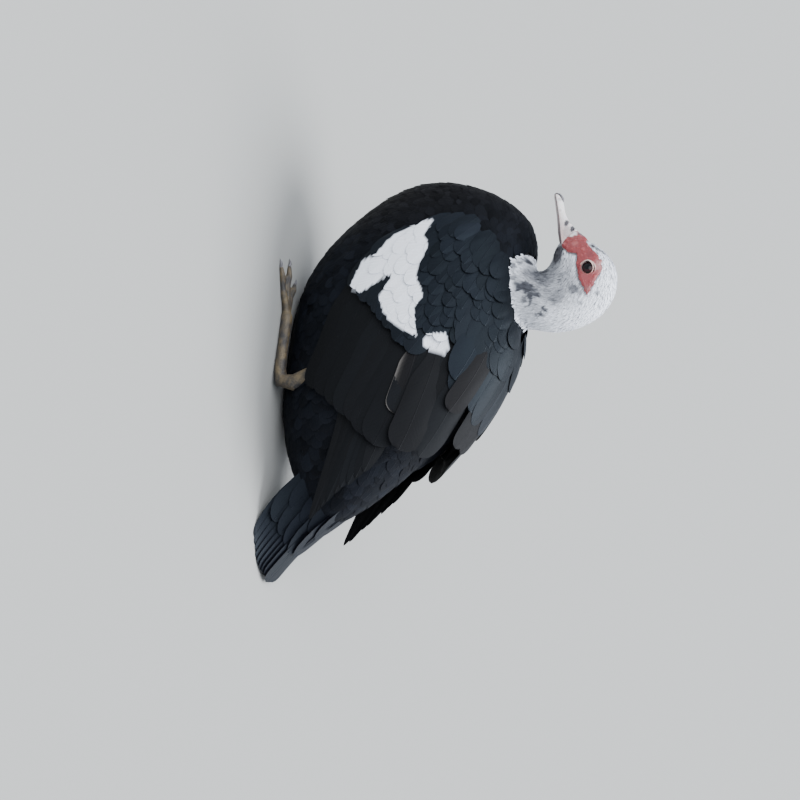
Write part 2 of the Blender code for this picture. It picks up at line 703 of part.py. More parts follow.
def lid_rim(side):
    """The rim of the lids as a ring around the eye, that leans with the side of the head."""
    bm = bmesh.new()
    rows = []
    for i in range(LID_STEPS):
        a = 2 * math.pi * i / LID_STEPS
        spoke = Vector((math.cos(a), 0.0, math.sin(a) * LID_HEIGHT))
        lean = LID_LEAN[0] * math.cos(a) + LID_LEAN[1] * math.sin(a)
        row = []
        for k in range(LID_SIDES):
            b = 2 * math.pi * k / LID_SIDES
            place = Vector((EYE.x, LID_PLANE + lean, EYE.z)) + spoke * (
                LID_RADIUS + LID_THICK * math.cos(b)) + Vector((0, LID_THICK * math.sin(b), 0))
            row.append(bm.verts.new((place.x, -place.y * side, place.z)))
        rows.append(row)
    for r, n in zip(rows, rows[1:] + rows[:1]):
        for k in range(LID_SIDES):
            o = (k + 1) % LID_SIDES
            bm.faces.new((r[k], r[o], n[o], n[k]))
    return mesh_object("lid", bm)


def make_face(name, side, skull):
    skin = head_copy(FACE_THICK)
    skin.name = skin.data.name = name
    skin.data.materials.append(material("face_skin"))
    apply_boolean(skin, "INTERSECT", [face_prism(side)])
    bulbs = [lid_rim(side)]
    for x, z, radius in FACE_BULBS:
        hit = skull.ray_cast(Vector((x, -FACE_DEPTHS[1] * side, z)), Vector((0, side, 0)))
        bulbs.append(ball("bulb", hit[0], [radius * share for share in BULB_SHAPE], 4, 6))
    apply_boolean(skin, "UNION", bulbs)
    bill = [bill_half("bill_cut", upper, by=GAP) for upper in (True, False)]
    apply_boolean(skin, "DIFFERENCE", [head_copy(GAP), eye_ball("eye_cut", side, GAP), *bill])


def make_leg(name, side):
    points = [(x, -y * side, z) for x, y, z in LEG_PATH]
    leg = tube(name, points, LEG_RADII, 12)
    leg.data.materials.append(material("leg_scales"))
    apply_boolean(leg, "DIFFERENCE", [trunk_copy(GAP)])
    cut_flat(leg)


def toe_points(end, steps):
    start = TOE_ROOT
    points = []
    for i in range(steps):
        t = i / (steps - 1)
        height = lerp(start.z, TOE_END_LEVEL, t) + TOE_WAVE * math.sin(t * math.pi * 3)
        points.append(Vector((lerp(start.x, end[0], t), lerp(start.y, end[1], t), height)))
    return points


def mirrored(points, side):
    return [Vector((p[0], -p[1] * side, p[2])) for p in points]


def web_form(first, second, side):
    """The web between two toes, with a front edge that hangs back between them."""
    outline = [TOE_ROOT]
    for i in range(WEB_STEPS + 1):
        t = i / WEB_STEPS
        back = WEB_HOLLOW * math.sin(math.pi * t)
        outline.append(TOE_ROOT.lerp(first.lerp(second, t), WEB_REACH * (1 - back)))
    rings = [[Vector((p.x, -p.y * side, z)) for p in outline] for z in WEB_LEVELS]
    return mesh_object("web", skin_rings(rings))


def make_foot(name, side):
    foot = tube(name, mirrored(JOINT_PATH, side), JOINT_RADII, 12)
    foot.data.materials.append(material("leg_scales"))
    ends = [Vector((*end, 0.0)) for end in TOES.values()]
    pieces = [
        tube("toe", mirrored(toe_points(end, len(TOE_RADII)), side), TOE_RADII, 8) for end in ends
    ]
    pieces.append(tube("hind", mirrored(HIND_TOE, side), HIND_RADII, 8))
    for first, second in zip(ends, ends[1:]):
        pieces.append(web_form(first, second, side))
    apply_boolean(foot, "UNION", pieces)
    apply_boolean(foot, "DIFFERENCE", [trunk_copy(GAP)])
    cut_flat(foot)


def make_claw(name, start, ahead, side):
    """A claw beyond a toe's end, curved down to the floor."""
    ahead = ahead.normalized()
    base = start + ahead * GAP
    points = []
    for t in CLAW_STEPS:
        point = base + ahead * CLAW_LENGTH * t
        if t > CLAW_STEPS[1]:
            fall = (base.z - CLAW_TIP) * t ** CLAW_FALL
            point.z = base.z - fall + CLAW_ARCH * math.sin(math.pi * t)
        points.append(point)
    radii = [CLAW_RADIUS * share for share in CLAW_TAPER]
    claw = tube(name, mirrored(points, side), radii, 8)
    claw.data.materials.append(material("nail_horn"))
    cut_flat(claw)


def make_feet(word, side):
    make_leg("leg_" + word, side)
    make_foot("foot_" + word, side)
    for toe, end in TOES.items():
        points = toe_points(end, len(TOE_RADII))
        make_claw(f"claw_{toe}_{word}", points[-1], points[-1] - points[-2], side)
    make_claw("claw_hind_" + word, HIND_TOE[1], HIND_TOE[1] - HIND_TOE[0], side)


def main():
    clear_scene()
    make_trunk()
    head, neck = make_head_and_neck()
    bm = head_bmesh()
    skull = BVHTree.FromBMesh(bm)
    bm.free()
    apply_boolean(head, "DIFFERENCE", [eye_ball("socket", side, GAP) for side in (1, -1)])
    make_bill()
    for word, side in (("left", 1), ("right", -1)):
        make_eye("eye_" + word, side)
        make_face("face_" + word, side, skull)
        make_wing("wing_" + word, side)
        make_feet(word, side)
    make_tail()
    for obj in bpy.data.objects:
        shade(obj)


main()
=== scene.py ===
import math
import random

import bpy
import numpy as np
from mathutils import Matrix, Vector
from mathutils.bvhtree import BVHTree
from mathutils.kdtree import KDTree


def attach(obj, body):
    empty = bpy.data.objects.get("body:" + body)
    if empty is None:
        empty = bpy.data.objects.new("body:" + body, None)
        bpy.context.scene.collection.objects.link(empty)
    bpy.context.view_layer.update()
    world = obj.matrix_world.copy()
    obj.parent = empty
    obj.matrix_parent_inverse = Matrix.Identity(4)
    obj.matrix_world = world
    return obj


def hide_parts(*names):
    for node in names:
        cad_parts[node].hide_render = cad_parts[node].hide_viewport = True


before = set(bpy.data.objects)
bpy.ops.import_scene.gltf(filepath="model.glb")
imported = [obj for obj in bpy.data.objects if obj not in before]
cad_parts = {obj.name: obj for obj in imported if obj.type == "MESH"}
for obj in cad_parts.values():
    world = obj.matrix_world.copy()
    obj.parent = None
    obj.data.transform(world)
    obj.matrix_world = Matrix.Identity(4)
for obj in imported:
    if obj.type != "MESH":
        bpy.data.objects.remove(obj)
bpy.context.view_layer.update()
print("frame loaded:", len(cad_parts), "nodes")

sides = {"left": 1, "right": -1}


# Small helpers for the work in Blender

def deselectAll():
    bpy.ops.object.select_all(action="DESELECT")


def makeActive(obj):
    deselectAll()
    obj.select_set(True)
    bpy.context.view_layer.objects.active = obj


def applyStep(obj, kind, **settings):
    makeActive(obj)
    step = obj.modifiers.new(kind.title(), kind)
    for key, value in settings.items():
        setattr(step, key, value)
    bpy.ops.object.modifier_apply(modifier=step.name)


# A copy of CAD nodes as one mesh, with its loose triangles merged
def copyNodes(name, *nodes):
    copies = []
    for node in nodes:
        copy = bpy.data.objects.new(name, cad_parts[node].data.copy())
        bpy.context.scene.collection.objects.link(copy)
        copies.append(copy)
    makeActive(copies[0])
    for copy in copies:
        copy.select_set(True)
    if len(copies) > 1:
        bpy.ops.object.join()
    obj = bpy.context.view_layer.objects.active
    bpy.ops.object.mode_set(mode="EDIT")
    bpy.ops.mesh.select_all(action="SELECT")
    bpy.ops.mesh.remove_doubles(threshold=0.00001)
    bpy.ops.object.mode_set(mode="OBJECT")
    obj.data.materials.clear()
    obj.name = obj.data.name = name
    return obj


def smoothed(obj, rounds):
    applyStep(obj, "SMOOTH", factor=0.5, iterations=rounds)


# Such a copy as one even shell: remeshed in voxels of this size, then smoothed
def shellOf(name, voxel, rounds, *nodes):
    shell = copyNodes(name, *nodes)
    applyStep(shell, "REMESH", mode="VOXEL", voxel_size=voxel)
    smoothed(shell, rounds)
    return shell


# A colour for each point of a mesh, which its material reads
def setTint(mesh, tint):
    colours = mesh.color_attributes.new("tint", "FLOAT_COLOR", "POINT")
    colours.data.foreach_set("color", np.c_[tint, np.ones(len(tint))].astype(np.float32).ravel())


# The last step of a shell: its colours, and smooth shading
def finishShell(obj, tint=None):
    if tint is not None:
        setTint(obj.data, tint)
    makeActive(obj)
    bpy.ops.object.shade_smooth()
    return obj


def pointsOf(obj):
    found = np.empty(len(obj.data.vertices) * 3)
    obj.data.vertices.foreach_get("co", found)
    return found.reshape(-1, 3)


def setPoints(obj, places):
    obj.data.vertices.foreach_set("co", np.ascontiguousarray(places, dtype=np.float32).ravel())
    obj.data.update()


def unit(vectors):
    return vectors / np.maximum(np.linalg.norm(vectors, axis=-1, keepdims=True), 1e-12)


def smoothStep(low, high, value):
    t = np.clip((value - low) / (high - low), 0, 1)
    return t * t * (3 - 2 * t)


def mix(a, b, t):
    return a + (b - a) * t


# Two colours or directions mixed, with a share for each point
def between(a, b, share):
    return mix(np.asarray(a), np.asarray(b), np.asarray(share)[..., None])


# Gives a finished piece its material and its body, and hides the nodes that it stands for
def dress(piece, slot, material, *nodes):
    piece.data.materials.clear()
    piece.data.materials.append(material)
    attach(piece, "root")
    if nodes:
        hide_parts(*nodes)


# A surface that feathers lie on: its triangles, smooth normals and a search tree

def surfaceOf(points, triangles):
    normals = np.zeros_like(points)
    corners = points[triangles]
    flat = np.cross(corners[:, 1] - corners[:, 0], corners[:, 2] - corners[:, 0])
    for k in range(3):
        np.add.at(normals, triangles[:, k], flat)
    tree = BVHTree.FromPolygons(points.tolist(), triangles.tolist())
    return {"points": points, "triangles": triangles, "normals": unit(normals), "tree": tree,
            "areas": np.linalg.norm(flat, axis=1) / 2}


def surfaceFromObject(obj):
    mesh = obj.data
    mesh.calc_loop_triangles()
    triangles = np.empty(len(mesh.loop_triangles) * 3, dtype=np.int64)
    mesh.loop_triangles.foreach_get("vertices", triangles)
    return surfaceOf(pointsOf(obj), triangles.reshape(-1, 3))


# The nearest points of the surface, with its smooth normals there
def snap(surface, places):
    shape = places.shape
    flat = places.reshape(-1, 3)
    hits = [surface["tree"].find_nearest(place) for place in flat.tolist()]
    found = np.array([hit[0][:] for hit in hits])
    triangle = surface["triangles"][[hit[2] for hit in hits]]
    a, b, c = (surface["points"][triangle[:, k]] for k in range(3))
    whole = np.cross(b - a, c - a)
    size = np.maximum((whole * whole).sum(1), 1e-20)
    wb = (np.cross(found - a, c - a) * whole).sum(1) / size
    wc = (np.cross(b - a, found - a) * whole).sum(1) / size
    weights = np.stack([1 - wb - wc, wb, wc], axis=1)[:, :, None]
    normals = unit((surface["normals"][triangle] * weights).sum(1))
    return found.reshape(shape), normals.reshape(shape)


# The body's own line from the bill to the tail: the head's plumage lies along it, and it gives
# each feather its place in the bake map

bodyLine = np.array([
    (-0.200, 0.0, 0.278), (-0.155, 0.0, 0.296), (-0.100, 0.0, 0.315), (-0.080, 0.0, 0.275),
    (-0.100, 0.0, 0.205), (-0.020, 0.0, 0.130), (0.150, 0.0, 0.068), (0.240, 0.0, 0.000),
])
coatLie = {
    "lineHold": 4.0,            # how strongly the nearest stretch of the line sets the lie
    "nearest": 0.004,           # distances from the line count as at least this
    # the way the body's plumage points, before it is laid on the skin
    "throat": (-1.0, 0.0, -0.15), "breast": (0.25, 0.0, -1.0), "rear": (0.95, 0.0, -0.28),
    "throatHeight": (0.190, 0.245),     # the heights between which breast and throat change over
    "rearFrom": (-0.140, -0.030),       # and the places along the body for breast and rear
}


# For each point: how far along the body's line it is, and its turn round it, both 0 to 1
def lineCoordinates(places):
    starts, ends = bodyLine[:-1], bodyLine[1:]
    runs = ends - starts
    lengths = np.linalg.norm(runs, axis=1)
    rel = places[:, None, :] - starts[None]
    t = np.clip((rel * runs).sum(2) / lengths ** 2, 0, 1)
    feet = starts + t[:, :, None] * runs
    far = np.linalg.norm(places[:, None, :] - feet, axis=2)
    nearest = far.argmin(1)
    pick = np.arange(len(places))
    done = np.concatenate([[0], np.cumsum(lengths)])
    along = (done[nearest] + t[pick, nearest] * lengths[nearest]) / done[-1]
    out = places - feet[pick, nearest]
    ahead = unit(runs)[nearest]
    up = np.cross(ahead, (0.0, 1.0, 0.0))
    around = np.arctan2(-out[:, 1], -(out * up).sum(1)) / (2 * math.pi) + 0.5
    return along, around


# The way that the plumage points at these places, along the skin
def lieOfCoat(places, normals):
    starts, ends = bodyLine[:-1], bodyLine[1:]
    runs = ends - starts
    rel = places[:, None, :] - starts[None]
    t = np.clip((rel * runs).sum(2) / (runs ** 2).sum(1), 0, 1)
    far = np.linalg.norm(rel - t[:, :, None] * runs, axis=2)
    weights = (1 / np.maximum(far, coatLie["nearest"])) ** coatLie["lineHold"]
    ahead = unit((unit(runs)[None] * weights[:, :, None]).sum(1))
    x, z = places[:, 0], places[:, 2]
    body = between(coatLie["breast"], coatLie["throat"], smoothStep(*coatLie["throatHeight"], z))
    body = between(body, coatLie["rear"], smoothStep(*coatLie["rearFrom"], x))
    ahead = between(body, ahead, headShare(places))
    return unit(ahead - normals * (ahead * normals).sum(1, keepdims=True))


# The sheets that the trunk and the folded wings follow, as stations from the breast backwards:
# top point x, z, bottom point x, z, and half the width

trunkStations = [
    (-0.2080, 0.1570, -0.2080, 0.1550, 0.0010), (-0.2025, 0.1930, -0.2035, 0.1200, 0.0310),
    (-0.1880, 0.2270, -0.1880, 0.0840, 0.0500), (-0.1610, 0.2550, -0.1520, 0.0430, 0.0640),
    (-0.1180, 0.2620, -0.1080, 0.0110, 0.0720), (-0.0550, 0.2560, -0.0550, -0.0030, 0.0750),
    (0.0060, 0.2360, 0.0000, -0.0040, 0.0740), (0.0640, 0.1940, 0.0450, -0.0020, 0.0680),
    (0.1100, 0.1480, 0.0860, 0.0060, 0.0560), (0.1460, 0.1100, 0.1220, 0.0200, 0.0410),
    (0.1680, 0.0780, 0.1520, 0.0400, 0.0240), (0.1740, 0.0620, 0.1720, 0.0600, 0.0010),
]
mantleStations = trunkStations[:6] + [
    (0.0080, 0.2400, 0.0000, -0.0040, 0.0750), (0.0670, 0.2060, 0.0450, -0.0020, 0.0710),
    (0.1130, 0.1680, 0.0880, 0.0120, 0.0640), (0.1540, 0.1310, 0.1280, 0.0220, 0.0570),
    (0.1940, 0.0960, 0.1700, 0.0240, 0.0490), (0.2280, 0.0620, 0.2050, 0.0140, 0.0420),
]


# The rows of a table at u, where whole numbers are the listed ones, by a smooth curve
def along(stations, u):
    table = np.array(stations, dtype=float)
    last = len(table) - 1
    u = np.clip(u, 0, last)
    i = np.minimum(u.astype(int), last - 1)
    t = (u - i)[..., None]
    a, b, c, d = (table[np.clip(i + k, 0, last)] for k in (-1, 0, 1, 2))
    return 0.5 * (2 * b + (c - a) * t + (2 * a - 5 * b + 4 * c - d) * t ** 2
                  + (3 * b - a - 3 * c + d) * t ** 3)


# Points at station u and at an angle, where 0 is the back's middle and 90 the left side
def onSheet(stations, u, angle):
    xTop, zTop, xLow, zLow, wide = np.moveaxis(along(stations, u), -1, 0)
    c, s = np.cos(np.radians(angle)), np.sin(np.radians(angle))
    return np.stack([(xTop + xLow) / 2 + (xTop - xLow) / 2 * c, -wide * s,
                     (zTop + zLow) / 2 + (zTop - zLow) / 2 * c], axis=-1)


def sheetGrid(stations, uStep, angleStep):
    u = np.arange(0, len(stations) - 1 + uStep / 2, uStep)
    angle = np.arange(0, 360, angleStep)
    uu, aa = np.meshgrid(u, angle, indexing="ij")
    return uu, aa, onSheet(stations, uu, aa)


# Two triangles for each cell of a grid whose columns close in a ring
def gridTriangles(rows, columns):
    i, k = np.meshgrid(np.arange(rows - 1), np.arange(columns), indexing="ij")
    n = (k + 1) % columns
    a, b, c, d = i * columns + k, (i + 1) * columns + k, (i + 1) * columns + n, i * columns + n
    return np.concatenate([np.stack([a, b, c], -1).reshape(-1, 3),
                           np.stack([a, c, d], -1).reshape(-1, 3)])


def sheetSurface(stations, uStep=0.1, angleStep=4.0):
    uu, _, places = sheetGrid(stations, uStep, angleStep)
    surface = surfaceOf(places.reshape(-1, 3), gridTriangles(*uu.shape))
    middle = places.mean(axis=1, keepdims=True)
    outward = (places - middle).reshape(-1, 3)
    if (surface["normals"] * outward).sum() < 0:
        surface["normals"] = -surface["normals"]
    return surface


# The skin: one surface over trunk, neck and head, with the folded arms swelling out of it

skinSizes = {
    "voxel": 0.0024,
    "smoothing": 14,
    "bodyCoat": 0.0042,         # depth of the coat over the skin on the body
    "headCoat": 0.0017,         # and on the head and neck
    "bareCoat": 0.0003,         # and beside the bill, where the skin is bare
    "bareFrom": (-0.128, -0.136),       # from here forwards
    "bareHeight": (0.266, 0.276),       # and from here upwards
    "armSpan": (3.30, 7.90),    # stations that the folded arm spans
    "armUpper": (66, 36, 22, 18, 20, 30),       # its upper edge, degrees, front to back
    "armLower": (86, 106, 112, 104, 92, 74),    # and its lower edge
    "armLift": (0.0012, 0.0130),                # how far it swells at its front and rear
    "floorGap": 0.0030,
}


# How far the folded arm lifts the skin at these points of the trunk
def armSwell(places):
    uu, aa, grid = sheetGrid(trunkStations, 0.1, 3.0)
    tree = KDTree(grid.size // 3)
    for i, place in enumerate(grid.reshape(-1, 3).tolist()):
        tree.insert(place, i)
    tree.balance()
    index = np.array([tree.find(place)[1] for place in places.tolist()])
    u, angle = uu.ravel()[index], aa.ravel()[index]
    angle = np.where(angle > 180, 360 - angle, angle)
    low, high = skinSizes["armSpan"]
    a = np.clip((u - low) / (high - low), 0, 1)
    edges = len(skinSizes["armUpper"]) - 1
    upper = along([(v,) for v in skinSizes["armUpper"]], a * edges)[..., 0]
    lower = along([(v,) for v in skinSizes["armLower"]], a * edges)[..., 0]
    b = np.clip((angle - upper) / (lower - upper), 0, 1)
    swell = (1 - np.abs(2 * a - 1) ** 5) * (1 - np.abs(2 * b - 1) ** 4)
    inside = (u > low) & (u < high) & (angle > upper) & (angle < lower)
    return np.where(inside, mix(*skinSizes["armLift"], a ** 3) * swell, 0)


def vertexNormals(obj):
    found = np.empty(len(obj.data.vertices) * 3)
    obj.data.vertices.foreach_get("normal", found)
    return found.reshape(-1, 3)


# Returns the skin, and the outer surface that the plumage reaches
def makeSkin():
    skin = shellOf("skin", skinSizes["voxel"], skinSizes["smoothing"], "torso", "neck", "head")
    places = pointsOf(skin)
    setPoints(skin, places + vertexNormals(skin) * armSwell(places)[:, None])
    smoothed(skin, 4)
    coat = surfaceFromObject(skin)
    places = pointsOf(skin)
    tint = skinTint(places)
    depth = mix(skinSizes["bodyCoat"], skinSizes["headCoat"], headShare(places))
    bare = smoothStep(*skinSizes["bareFrom"], places[:, 0])
    bare = bare * smoothStep(*skinSizes["bareHeight"], places[:, 2])
    depth = mix(depth, skinSizes["bareCoat"], bare)
    places = places - vertexNormals(skin) * depth[:, None]
    places[:, 2] = np.maximum(places[:, 2], skinSizes["floorGap"])
    setPoints(skin, places)
    return finishShell(skin, tint), coat


# The markings, shared by skin and coat. Spots and patches are given in the side view, x and z

headMarks = {
    "neckLine": (-0.105, 0.2450, 0.150),    # a point of the white's lower edge, and its slope
    "throatLine": (-0.1300, 0.2650, 1.10),  # a point of its front edge, and how it leans
    "napeLine": (-0.0490, 0.2530, 0.60),    # and of its rear edge
    "waver": 0.0014,                        # how far those edges waver
    "change": 0.001,                        # and half the breadth of the change of colour
    "white": (0.82, 0.84, 0.90),
    "grey": (0.030, 0.032, 0.043),
    # the chin's colour: partly its own darker grey, partly painted shadow under the bill
    "shadowedChin": (0.050, 0.049, 0.060),
    "shadowedChinPlace": (-0.1235, 0.2885, 0.0150, 0.0088),     # where the chin's darker grey and painted shadow lie: x, z, and its reach along each
    "warp": 0.0015,                         # how far the edges of the spots stray
    "throatGreyAndShade": [                 # the greyer throat and cheek, partly their own grey mottling and partly painted shade: x, z, radius, strength
        (-0.0958, 0.2763, 0.0216, 0.70), (-0.1066, 0.2827, 0.0173, 0.62), (-0.1133, 0.2886, 0.0108, 0.50),
        (-0.0975, 0.2745, 0.0120, 0.55), (-0.1020, 0.2660, 0.0130, 0.30), (-0.0700, 0.2940, 0.0110, 0.30),
        (-0.0828, 0.2752, 0.0194, 0.50), (-0.1009, 0.2668, 0.0173, 0.52), (-0.0831, 0.2921, 0.0238, 0.50),
        (-0.0685, 0.2936, 0.0173, 0.42), (-0.0921, 0.2576, 0.0151, 0.42), (-0.1038, 0.2998, 0.0194, 0.42),
        (-0.0856, 0.3045, 0.0238, 0.36), (-0.0692, 0.3080, 0.0173, 0.22), (-0.0661, 0.2768, 0.0173, 0.38),
        (-0.0604, 0.2659, 0.0173, 0.28), (-0.0741, 0.2552, 0.0130, 0.32), (-0.1101, 0.2522, 0.0086, 0.32),
        (-0.0858, 0.3172, 0.0151, 0.30),
    ],
    "spots": [                  # x, z, radius, strength
        (-0.0802, 0.2632, 0.0090, 0.97), (-0.0804, 0.2559, 0.0066, 0.96), (-0.0777, 0.2697, 0.0056, 0.93),
        (-0.0722, 0.2750, 0.0052, 0.95), (-0.0701, 0.2682, 0.0052, 0.95), (-0.0641, 0.2677, 0.0038, 0.88),
        (-0.0661, 0.2607, 0.0038, 0.80), (-0.0860, 0.2532, 0.0032, 0.56), (-0.1142, 0.2579, 0.0038, 0.94),
        (-0.1140, 0.2550, 0.0028, 0.84), (-0.1086, 0.2515, 0.0030, 0.70), (-0.1028, 0.2472, 0.0032, 0.80),
        (-0.0975, 0.2475, 0.0032, 0.62), (-0.0892, 0.2487, 0.0038, 0.70), (-0.0568, 0.2837, 0.0034, 0.92),
        (-0.0530, 0.2779, 0.0032, 0.90), (-0.0514, 0.2739, 0.0022, 0.66), (-0.0659, 0.2921, 0.0049, 0.80),
        (-0.0696, 0.2956, 0.0043, 0.72), (-0.0763, 0.2955, 0.0043, 0.66), (-0.0636, 0.2979, 0.0032, 0.50),
        (-0.0870, 0.2774, 0.0054, 0.87), (-0.0938, 0.2728, 0.0054, 0.84), (-0.0801, 0.3130, 0.0065, 0.84),
        (-0.0761, 0.3178, 0.0038, 0.70), (-0.0856, 0.3098, 0.0043, 0.62),
    ],
    "crownSpots": [             # x, y, z, radius, strength
        (-0.1330, -0.0127, 0.3260, 0.0044, 0.92), (-0.1300, -0.0114, 0.3311, 0.0038, 0.85),
        (-0.1274, -0.0092, 0.3356, 0.0034, 0.70), (-0.1236, -0.0156, 0.3317, 0.0030, 0.50),
        (-0.1330, 0.0110, 0.3330, 0.0036, 0.60), (-0.1180, 0.0070, 0.3450, 0.0030, 0.45),
        (-0.0773, -0.0170, 0.3364, 0.0030, 0.75),
    ],
    "speckles": 170,                        # smaller ones strewn at random
    "speckleRadius": (0.0010, 0.0034),
    "speckleStrength": (0.15, 0.60),
    "speckleSpan": ((-0.150, -0.040), (0.240, 0.352)),  # where they fall, in x and in z
}
bodyMarks = {
    "black": (0.0046, 0.0057, 0.0084),
    "quill": (0.0040, 0.0043, 0.0052),
    "breast": (0.0060, 0.0060, 0.0072),
    "brown": (0.0088, 0.0076, 0.0080),
    "white": (0.84, 0.86, 0.92),
    "tail": (0.0038, 0.0039, 0.0064),
    "paleEdge": (0.15, 0.138, 0.128),
    "mantleShade": 0.62,        # the tone of the wing's feathers beside the neck, as a share
    "mantleHeight": (0.215, 0.245),     # the heights where that begins, and where it is whole
    "breastEnd": (-0.19, -0.10),        # where the breast's black turns into the back's
}
wingPatches = [                             # outlines of the white on the wing, x and z
    [(-0.141, 0.169), (-0.136, 0.147), (-0.119, 0.124), (-0.100, 0.111), (-0.091, 0.095),
     (-0.064, 0.086), (-0.055, 0.099), (-0.073, 0.125), (-0.076, 0.134), (-0.049, 0.121),
     (-0.028, 0.132), (-0.012, 0.154), (-0.008, 0.166), (-0.016, 0.165), (-0.037, 0.161),
     (-0.052, 0.168), (-0.076, 0.158), (-0.109, 0.167), (-0.122, 0.161)],
    [(-0.014, 0.195), (-0.001, 0.199), (0.009, 0.194), (0.006, 0.182), (0.001, 0.174),
     (-0.010, 0.174)],
]


# 1 on the head and neck and 0 on the body, with a narrow change between
def headShare(places):
    x, z = places[:, 0], places[:, 2]
    px, pz, slope = headMarks["neckLine"]
    fx, fz, lean = headMarks["throatLine"]
    nx, nz, rise = headMarks["napeLine"]
    above = z - (pz + slope * (x - px))
    behind = x - (fx + lean * (fz - z))
    before = nx + rise * (z - nz) - x
    above += headMarks["waver"] * np.sin(310 * x + 3) * np.cos(190 * places[:, 1])
    behind += headMarks["waver"] * np.sin(420 * z + 1) * np.cos(230 * places[:, 1])
    behind += 10 * np.maximum(z - fz, 0)
    before += 10 * np.maximum(z - nz - 0.008, 0)
    inside = np.minimum(above, np.minimum(behind, before))
    return smoothStep(-headMarks["change"], headMarks["change"], inside)


def speckleField():
    chance = random.Random(5)
    spanX, spanZ = headMarks["speckleSpan"]
    return [(chance.uniform(*spanX), chance.choice((-1, 1)), chance.uniform(*spanZ),
             chance.uniform(*headMarks["speckleRadius"]), chance.uniform(*headMarks["speckleStrength"]))
            for _ in range(headMarks["speckles"])]


# A soft round: 1 within the inner share of its radius, and 0 beyond the outer one
def softRound(far, radius, inner, outer):
    return 1 - smoothStep(radius * inner, radius * outer, far)


def headTint(places):
    x, y, z = places.T
    warp = headMarks["warp"]
    wx = x + warp * np.sin(520 * z + 3 * np.sin(410 * x) + 90 * y)
    wz = z + warp * np.sin(470 * x + 3 * np.cos(390 * z))
    mottle = 0.5 + 0.5 * np.sin(430 * x + 2 * np.sin(300 * z)) * np.sin(390 * z + 2 * np.cos(260 * x))
    clear = np.ones(len(x))
    # greyer throat and cheek: partly their own mottling, partly painted shade
    for sx, sz, radius, strength in headMarks["throatGreyAndShade"]:
        far = np.hypot(wx - sx, wz - sz)
        clear *= 1 - strength * (0.70 + 0.30 * mottle) * softRound(far, radius, 0.30, 1.0)
    dark = 1 - clear
    for sx, sz, radius, strength in headMarks["spots"]:
        far = np.hypot(wx - sx, wz - sz)
        dark = np.maximum(dark, strength * softRound(far, radius, 0.55, 1.25))
    for sx, sy, sz, radius, strength in headMarks["crownSpots"]:
        far = np.sqrt((x - sx) ** 2 + (y - sy) ** 2 + (z - sz) ** 2)
        dark = np.maximum(dark, strength * softRound(far, radius, 0.4, 1.25))
    for sx, side, sz, radius, strength in speckleField():
        far = np.where(y * side > 0, np.hypot(x - sx, z - sz), 1.0)
        dark = np.maximum(dark, strength * softRound(far, radius, 0.4, 1.2))
    tint = between(headMarks["white"], headMarks["grey"], dark)
    # the chin darkened: partly its own grey, partly painted shadow under the bill
    cx, cz, far, high = headMarks["shadowedChinPlace"]
    shadowedChin = 1 - smoothStep(0.55, 1.0, np.hypot((x - cx) / far, (z - cz) / high))
    return between(tint, headMarks["shadowedChin"], shadowedChin * 0.97)


def bodyTint(places):
    back = smoothStep(*bodyMarks["breastEnd"], places[:, 0])
    return between(bodyMarks["breast"], bodyMarks["black"], back)


# Colour of the skin under the head's and the body's plumage at each place
def skinTint(places):
    return between(bodyTint(places), headTint(places), headShare(places))


def insideOutline(outline, x, z):
    inside = np.zeros(x.shape, dtype=bool)
    for (xa, za), (xb, zb) in zip(outline, outline[1:] + outline[:1]):
        crosses = (za > z) != (zb > z)
        inside ^= crosses & (x < (xb - xa) * (z - za) / (zb - za + 1e-12) + xa)
    return inside


# Feathers: each is a thin closed lens, laid row by row on the surface that carries it

featherForms = {                # steps from root to tip, and half the breadth at each
    "head": ((0.0, 0.35, 0.70, 1.0), (0.55, 1.00, 0.80, 0.12)),
    "body": ((0.0, 0.28, 0.55, 0.76, 0.90, 0.97, 1.0), (0.40, 0.86, 1.00, 0.93, 0.68, 0.40, 0.14)),
    "covert": ((0.0, 0.22, 0.44, 0.62, 0.76, 0.87, 0.94, 0.98, 1.0),
               (0.45, 0.86, 0.99, 1.00, 0.93, 0.76, 0.54, 0.32, 0.12)),
}
bladeForms = {                  # breadth at the root, where the tip begins, and how full it is
    "blunt": (0.45, 0.78, 2.6), "pointed": (0.50, 0.45, 1.5), "tail": (0.42, 0.86, 3.2),
}
vaneSizes = {
    "thick": 0.0003,            # of the wing's and the tail's feathers
    "floorGap": 0.0004,         # how far feathers stay above the floor
    "bakePatch": 0.003,         # side of each feather's patch in the bake map
    "sharpFrom": 70.0,          # edges that turn by more degrees than this are sharp
}


# Rows and breadths of a long feather, whose edge follows a formula
def bladeForm(kind, rows):
    t = 1 - (1 - np.linspace(0, 1, rows)) ** 1.25
    root, point, power = bladeForms[kind]
    swell = mix(root, 1.0, smoothStep(0, 0.35, t))
    fall = np.clip((t - point) / (1 - point), 0, 1)
    breadth = swell * np.sqrt(np.clip(1 - fall ** power, 0, 1))
    return t, np.maximum(breadth, 0.05)


# Walks each feather's middle line over the surface from its root
def layRows(surface, roots, ahead, lengths, steps):
    here, normal = snap(surface, roots)
    centres, normals, headings = [], [], []
    done = 0.0
    for t in steps:
        ahead = unit(ahead - normal * (ahead * normal).sum(1, keepdims=True))
        if t > done:
            here, normal = snap(surface, here + ahead * (lengths * (t - done))[:, None])
            ahead = unit(ahead - normal * (ahead * normal).sum(1, keepdims=True))
            done = t
        centres.append(here)
        normals.append(normal)
        headings.append(ahead)
    return np.stack(centres, 1), np.stack(normals, 1), np.stack(headings, 1)


